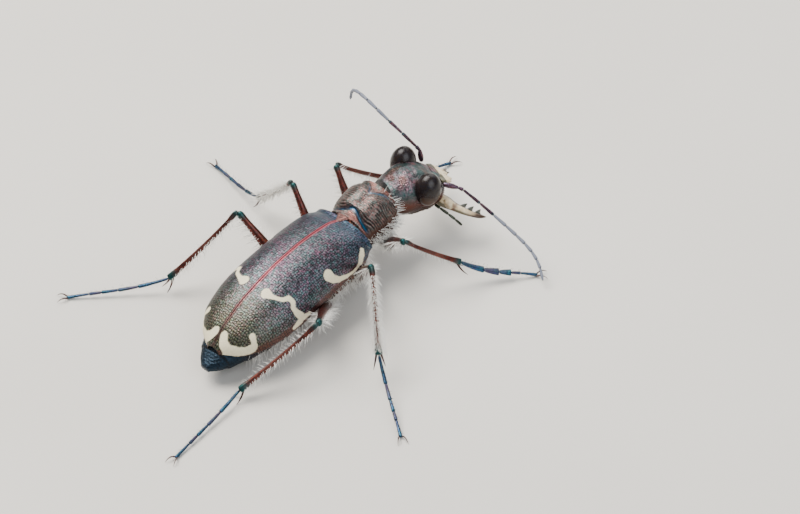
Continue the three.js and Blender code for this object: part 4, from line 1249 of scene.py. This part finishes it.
def coat(name, roots, normals, lean, length, radius, bend, root_uv, slot="leg", tone=0.0):
    """Spikes at roots. A hair's line is root + length * (normal * t + lean * bend * t squared),
    sunk a little at its foot; its radius falls with t to almost nothing at the tip."""
    n = len(roots)
    t = np.linspace(0, 1, HAIR_RINGS)
    length = np.broadcast_to(length, (n,)).astype(float)
    towards = unit(normals + lean * 0.35)
    line = (towards[:, None] * t[None, :, None] + (lean * bend)[:, None] * (t ** 2)[None, :, None])
    line = roots[:, None] + line * length[:, None, None] - normals[:, None] * 0.03
    side = unit(np.cross(towards, [0.3, 0.2, 1.0]))
    over = np.cross(side, towards)
    a = 2 * np.pi * np.arange(3) / 3
    r = radius * (1 - 0.88 * t ** 1.2)
    c, s = (f(a)[None, None, :, None] for f in (np.cos, np.sin))
    points = line[:, :, None] + r[None, :, None, None] * (c * side[:, None, None] + s * over[:, None, None])
    index = np.arange(n * HAIR_RINGS * 3).reshape(n, HAIR_RINGS, 3)
    nxt = np.roll(index, -1, 2)
    quads = np.stack([index[:, :-1], nxt[:, :-1], nxt[:, 1:], index[:, 1:]], -1).reshape(-1, 4)
    caps = np.concatenate([index[:, 0, ::-1], index[:, -1]])
    tones = np.broadcast_to(tone, (len(points) * HAIR_RINGS * 3, 4))
    patch = np.stack([np.cos(a), np.sin(a)], -1)[None, None] * 0.0013 * (1 - 0.6 * t)[None, :, None, None]
    uv = root_uv[:, None, None] * 0.98 + 0.01 + patch + 0 * points[..., :2]
    points[..., 2] = np.maximum(points[..., 2], 0.004)
    flat = points.reshape(-1, 3)
    first = quads[0]
    facing = np.cross(flat[first[1]] - flat[first[0]], flat[first[2]] - flat[first[0]])
    if facing @ (flat[first].mean(0) - line[0, :2].mean(0)) < 0:
        quads, caps = quads[:, ::-1], caps[:, ::-1]
    piece(name, [(flat, quads, caps, tones)], HAIR, slot, uv=uv.reshape(-1, 2))
    print(name, n, "hairs")


def furred(name, rings, density, seed, frame_of, lean, length, radius, bend, **extra):
    """A coat on part of a skin: random grid points, each taken with the chance that density gives
    there. It is made in the skin's own frame, then brought to the floor's."""
    i, j = np.nonzero(np.random.default_rng(seed).random(rings.shape[:2]) < density)
    uv = np.stack([i / rings.shape[0], j / rings.shape[1]], -1)
    normal = outward(rings)
    zero = frame_of(np.zeros((1, 3)))[0]
    root = frame_of(rings[i, j])
    up = frame_of(normal[i, j]) - zero
    along = frame_of(np.broadcast_to(lean, (len(i), 3)) + 0.0) - zero
    chance = np.random.default_rng(seed + 50)
    along = along + chance.normal(0, 0.3, (len(i), 3))
    up = unit(up + chance.normal(0, 0.22, (len(i), 3)))
    size = length * chance.uniform(0.6, 1.15, len(i))
    coat(name, root, up, along, size, radius, bend, uv, **extra)


pro_t = np.linspace(0, 1, 200)[:, None]
x, z = np.abs(pro_rings[..., 0]), pro_rings[..., 2]
pro_side = smooth(0.32, -0.1, z) * smooth(-1.0, -0.5, z)
pro_side = pro_side * smooth(0.06, 0.14, pro_t) * smooth(0.97, 0.9, pro_t)
pro_side += 0.5 * smooth(0.93, 0.97, pro_t) * smooth(0.2, 0.6, x) * smooth(-0.6, 0.1, z)
thorax_side = smooth(0.55, 0.1, thorax_rings[..., 2]) * smooth(-1.45, -1.2, thorax_rings[..., 2])
abdomen_side = smooth(-0.15, -0.4, abdomen_rings[..., 2]) * smooth(-1.3, -0.9, abdomen_rings[..., 2])
abdomen_side = abdomen_side * smooth(7.9, 7.2, abdomen_rings[..., 1])
BODY_COATS = (
    ("pronotum", pro_rings, 0.05 * pro_side, [0, -0.9, -0.5], 0.34, 0.011, 0.5),
    ("thorax", thorax_rings, 0.06 * thorax_side, [0, 0.6, -0.6], 0.46, 0.015, 0.4),
    ("abdomen", abdomen_rings, 0.035 * abdomen_side, [0, 0.9, -0.5], 0.42, 0.015, 0.4),
)
for seed, (name, rings, density, *hair) in enumerate(BODY_COATS, 1):
    furred(f"hair_on_{name}", rings, density, seed, from_body, *hair, slot="cuticle")

# %% Hair on the legs


def leg_coat(name, path_from, path_to, radii, rows, per_row, seed, length, radius, lean, spread,
             start=0.1, end=0.95, sag=0.0, **extra):
    """Hairs in loose rows along a leg link: each row stands at one angle round the line from one
    end to the other, and a row's hairs are even along it, each moved a little."""
    chance = np.random.default_rng(seed)
    span = path_to - path_from
    ahead, across, over = axes_of(span)
    n = len(rows) * per_row
    angle = np.radians(np.repeat(np.asarray(rows, float), per_row) + chance.normal(0, spread, n))
    share = np.tile(np.linspace(start, end, per_row), len(rows)) + chance.normal(0, 0.3 / per_row, n)
    out = np.cos(angle)[:, None] * across + np.sin(angle)[:, None] * over
    root = path_from + span * share[:, None] + out * (radii(share) * 0.9)[:, None]
    root = root + over * (sag * np.linalg.norm(span) * 4 * share * (1 - share))[:, None]
    out = unit(out + chance.normal(0, 0.12, out.shape))
    leaning = ahead * lean + chance.normal(0, 0.08, out.shape)
    size = length * chance.uniform(0.65, 1.15, len(angle))
    uv = np.stack([np.clip(share, 0, 1), (angle / (2 * np.pi)) % 1], -1)
    coat(name, from_floor(root), out, leaning, size, radius, 0.5, uv, **extra)


thigh_radius = spline([(0, 0.16), (0.12, 0.235), (0.3, 0.26), (0.6, 0.205), (0.85, 0.15), (1, 0.14)])
shin_radius = spline([(0, 0.12), (0.14, 0.115), (0.5, 0.125), (0.85, 0.145), (1, 0.18)])
DARK_TONE = np.array([1.0, 0, 0, 0])
THIGH_ROWS, FOOT_ROWS = [-90, -65, -115, 0, 180, -30, -150], [-60, -120, 30, 150]
# Of each pair of legs: length on the thigh; angles, hairs in a row, length and lean on the shin.
PAIR_HAIR = {
    "front": (0.42, [-50, -80, -110, -140], 30, 0.3, 0.6),
    "middle": (0.42, [0, 26, 52, 78, 110, 136, 160, 182, -25, -60, -90, -120, -155], 40, 0.36, 1.2),
    "hind": (0.62, [5, 175, -45, -135], 36, 0.36, 0.6),
}
for k, (name, (start, knee, ankle, tip, girth)) in enumerate(joints.items()):
    near = lambda s, g=girth: thigh_radius(np.clip(s, 0, 1)) * g
    low = lambda s, g=girth: shin_radius(np.clip(s, 0, 1)) * g
    thin = lambda s: 0.085 + 0 * s
    thigh_hair, rows, count, shin_hair, lay = PAIR_HAIR[name.split("_")[0]]
    leg_coat(f"hair_on_thigh_{name}", start, knee, near, THIGH_ROWS, 26, 20 + k, thigh_hair, 0.015, 0.25, 6,
             sag=0.035)
    leg_coat(f"hair_on_shin_{name}", knee, ankle, low, rows, count, 40 + k, shin_hair, 0.0165, lay, 6,
             sag=-0.004)
    leg_coat(f"bristles_on_foot_{name}", ankle, tip, thin, FOOT_ROWS, 16, 60 + k, 0.13, 0.009, 0.8, 8,
             start=0.06, end=0.99, tone=DARK_TONE, slot="foot")
for k, (name, (coxa, *_)) in enumerate(LEGS.items()):
    rings, path, s = hip_tube(coxa, [(1, 0.2)])
    side = np.sign(coxa[0])
    outer = smooth(0.1, 0.4, (rings[..., 0] - path[:, None, 0]) * side / 0.4) * smooth(0.3, 0.45, s)
    furred(f"hair_on_hip_{name}", rings, 0.45 * outer, 80 + k, from_body, [side * 0.4, 0.2, -0.6], 0.42,
           0.0105, 0.4)

# %% [markdown]
# ## Sizes and the end
#
# The size of the dressed beetle's box is printed, in millimetres. The dressed beetle
# has to stay in the box of its solids.

# %% Sizes
low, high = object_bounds()
print("visual box, mm:", [round(v / MM, 2) for v in high - low])
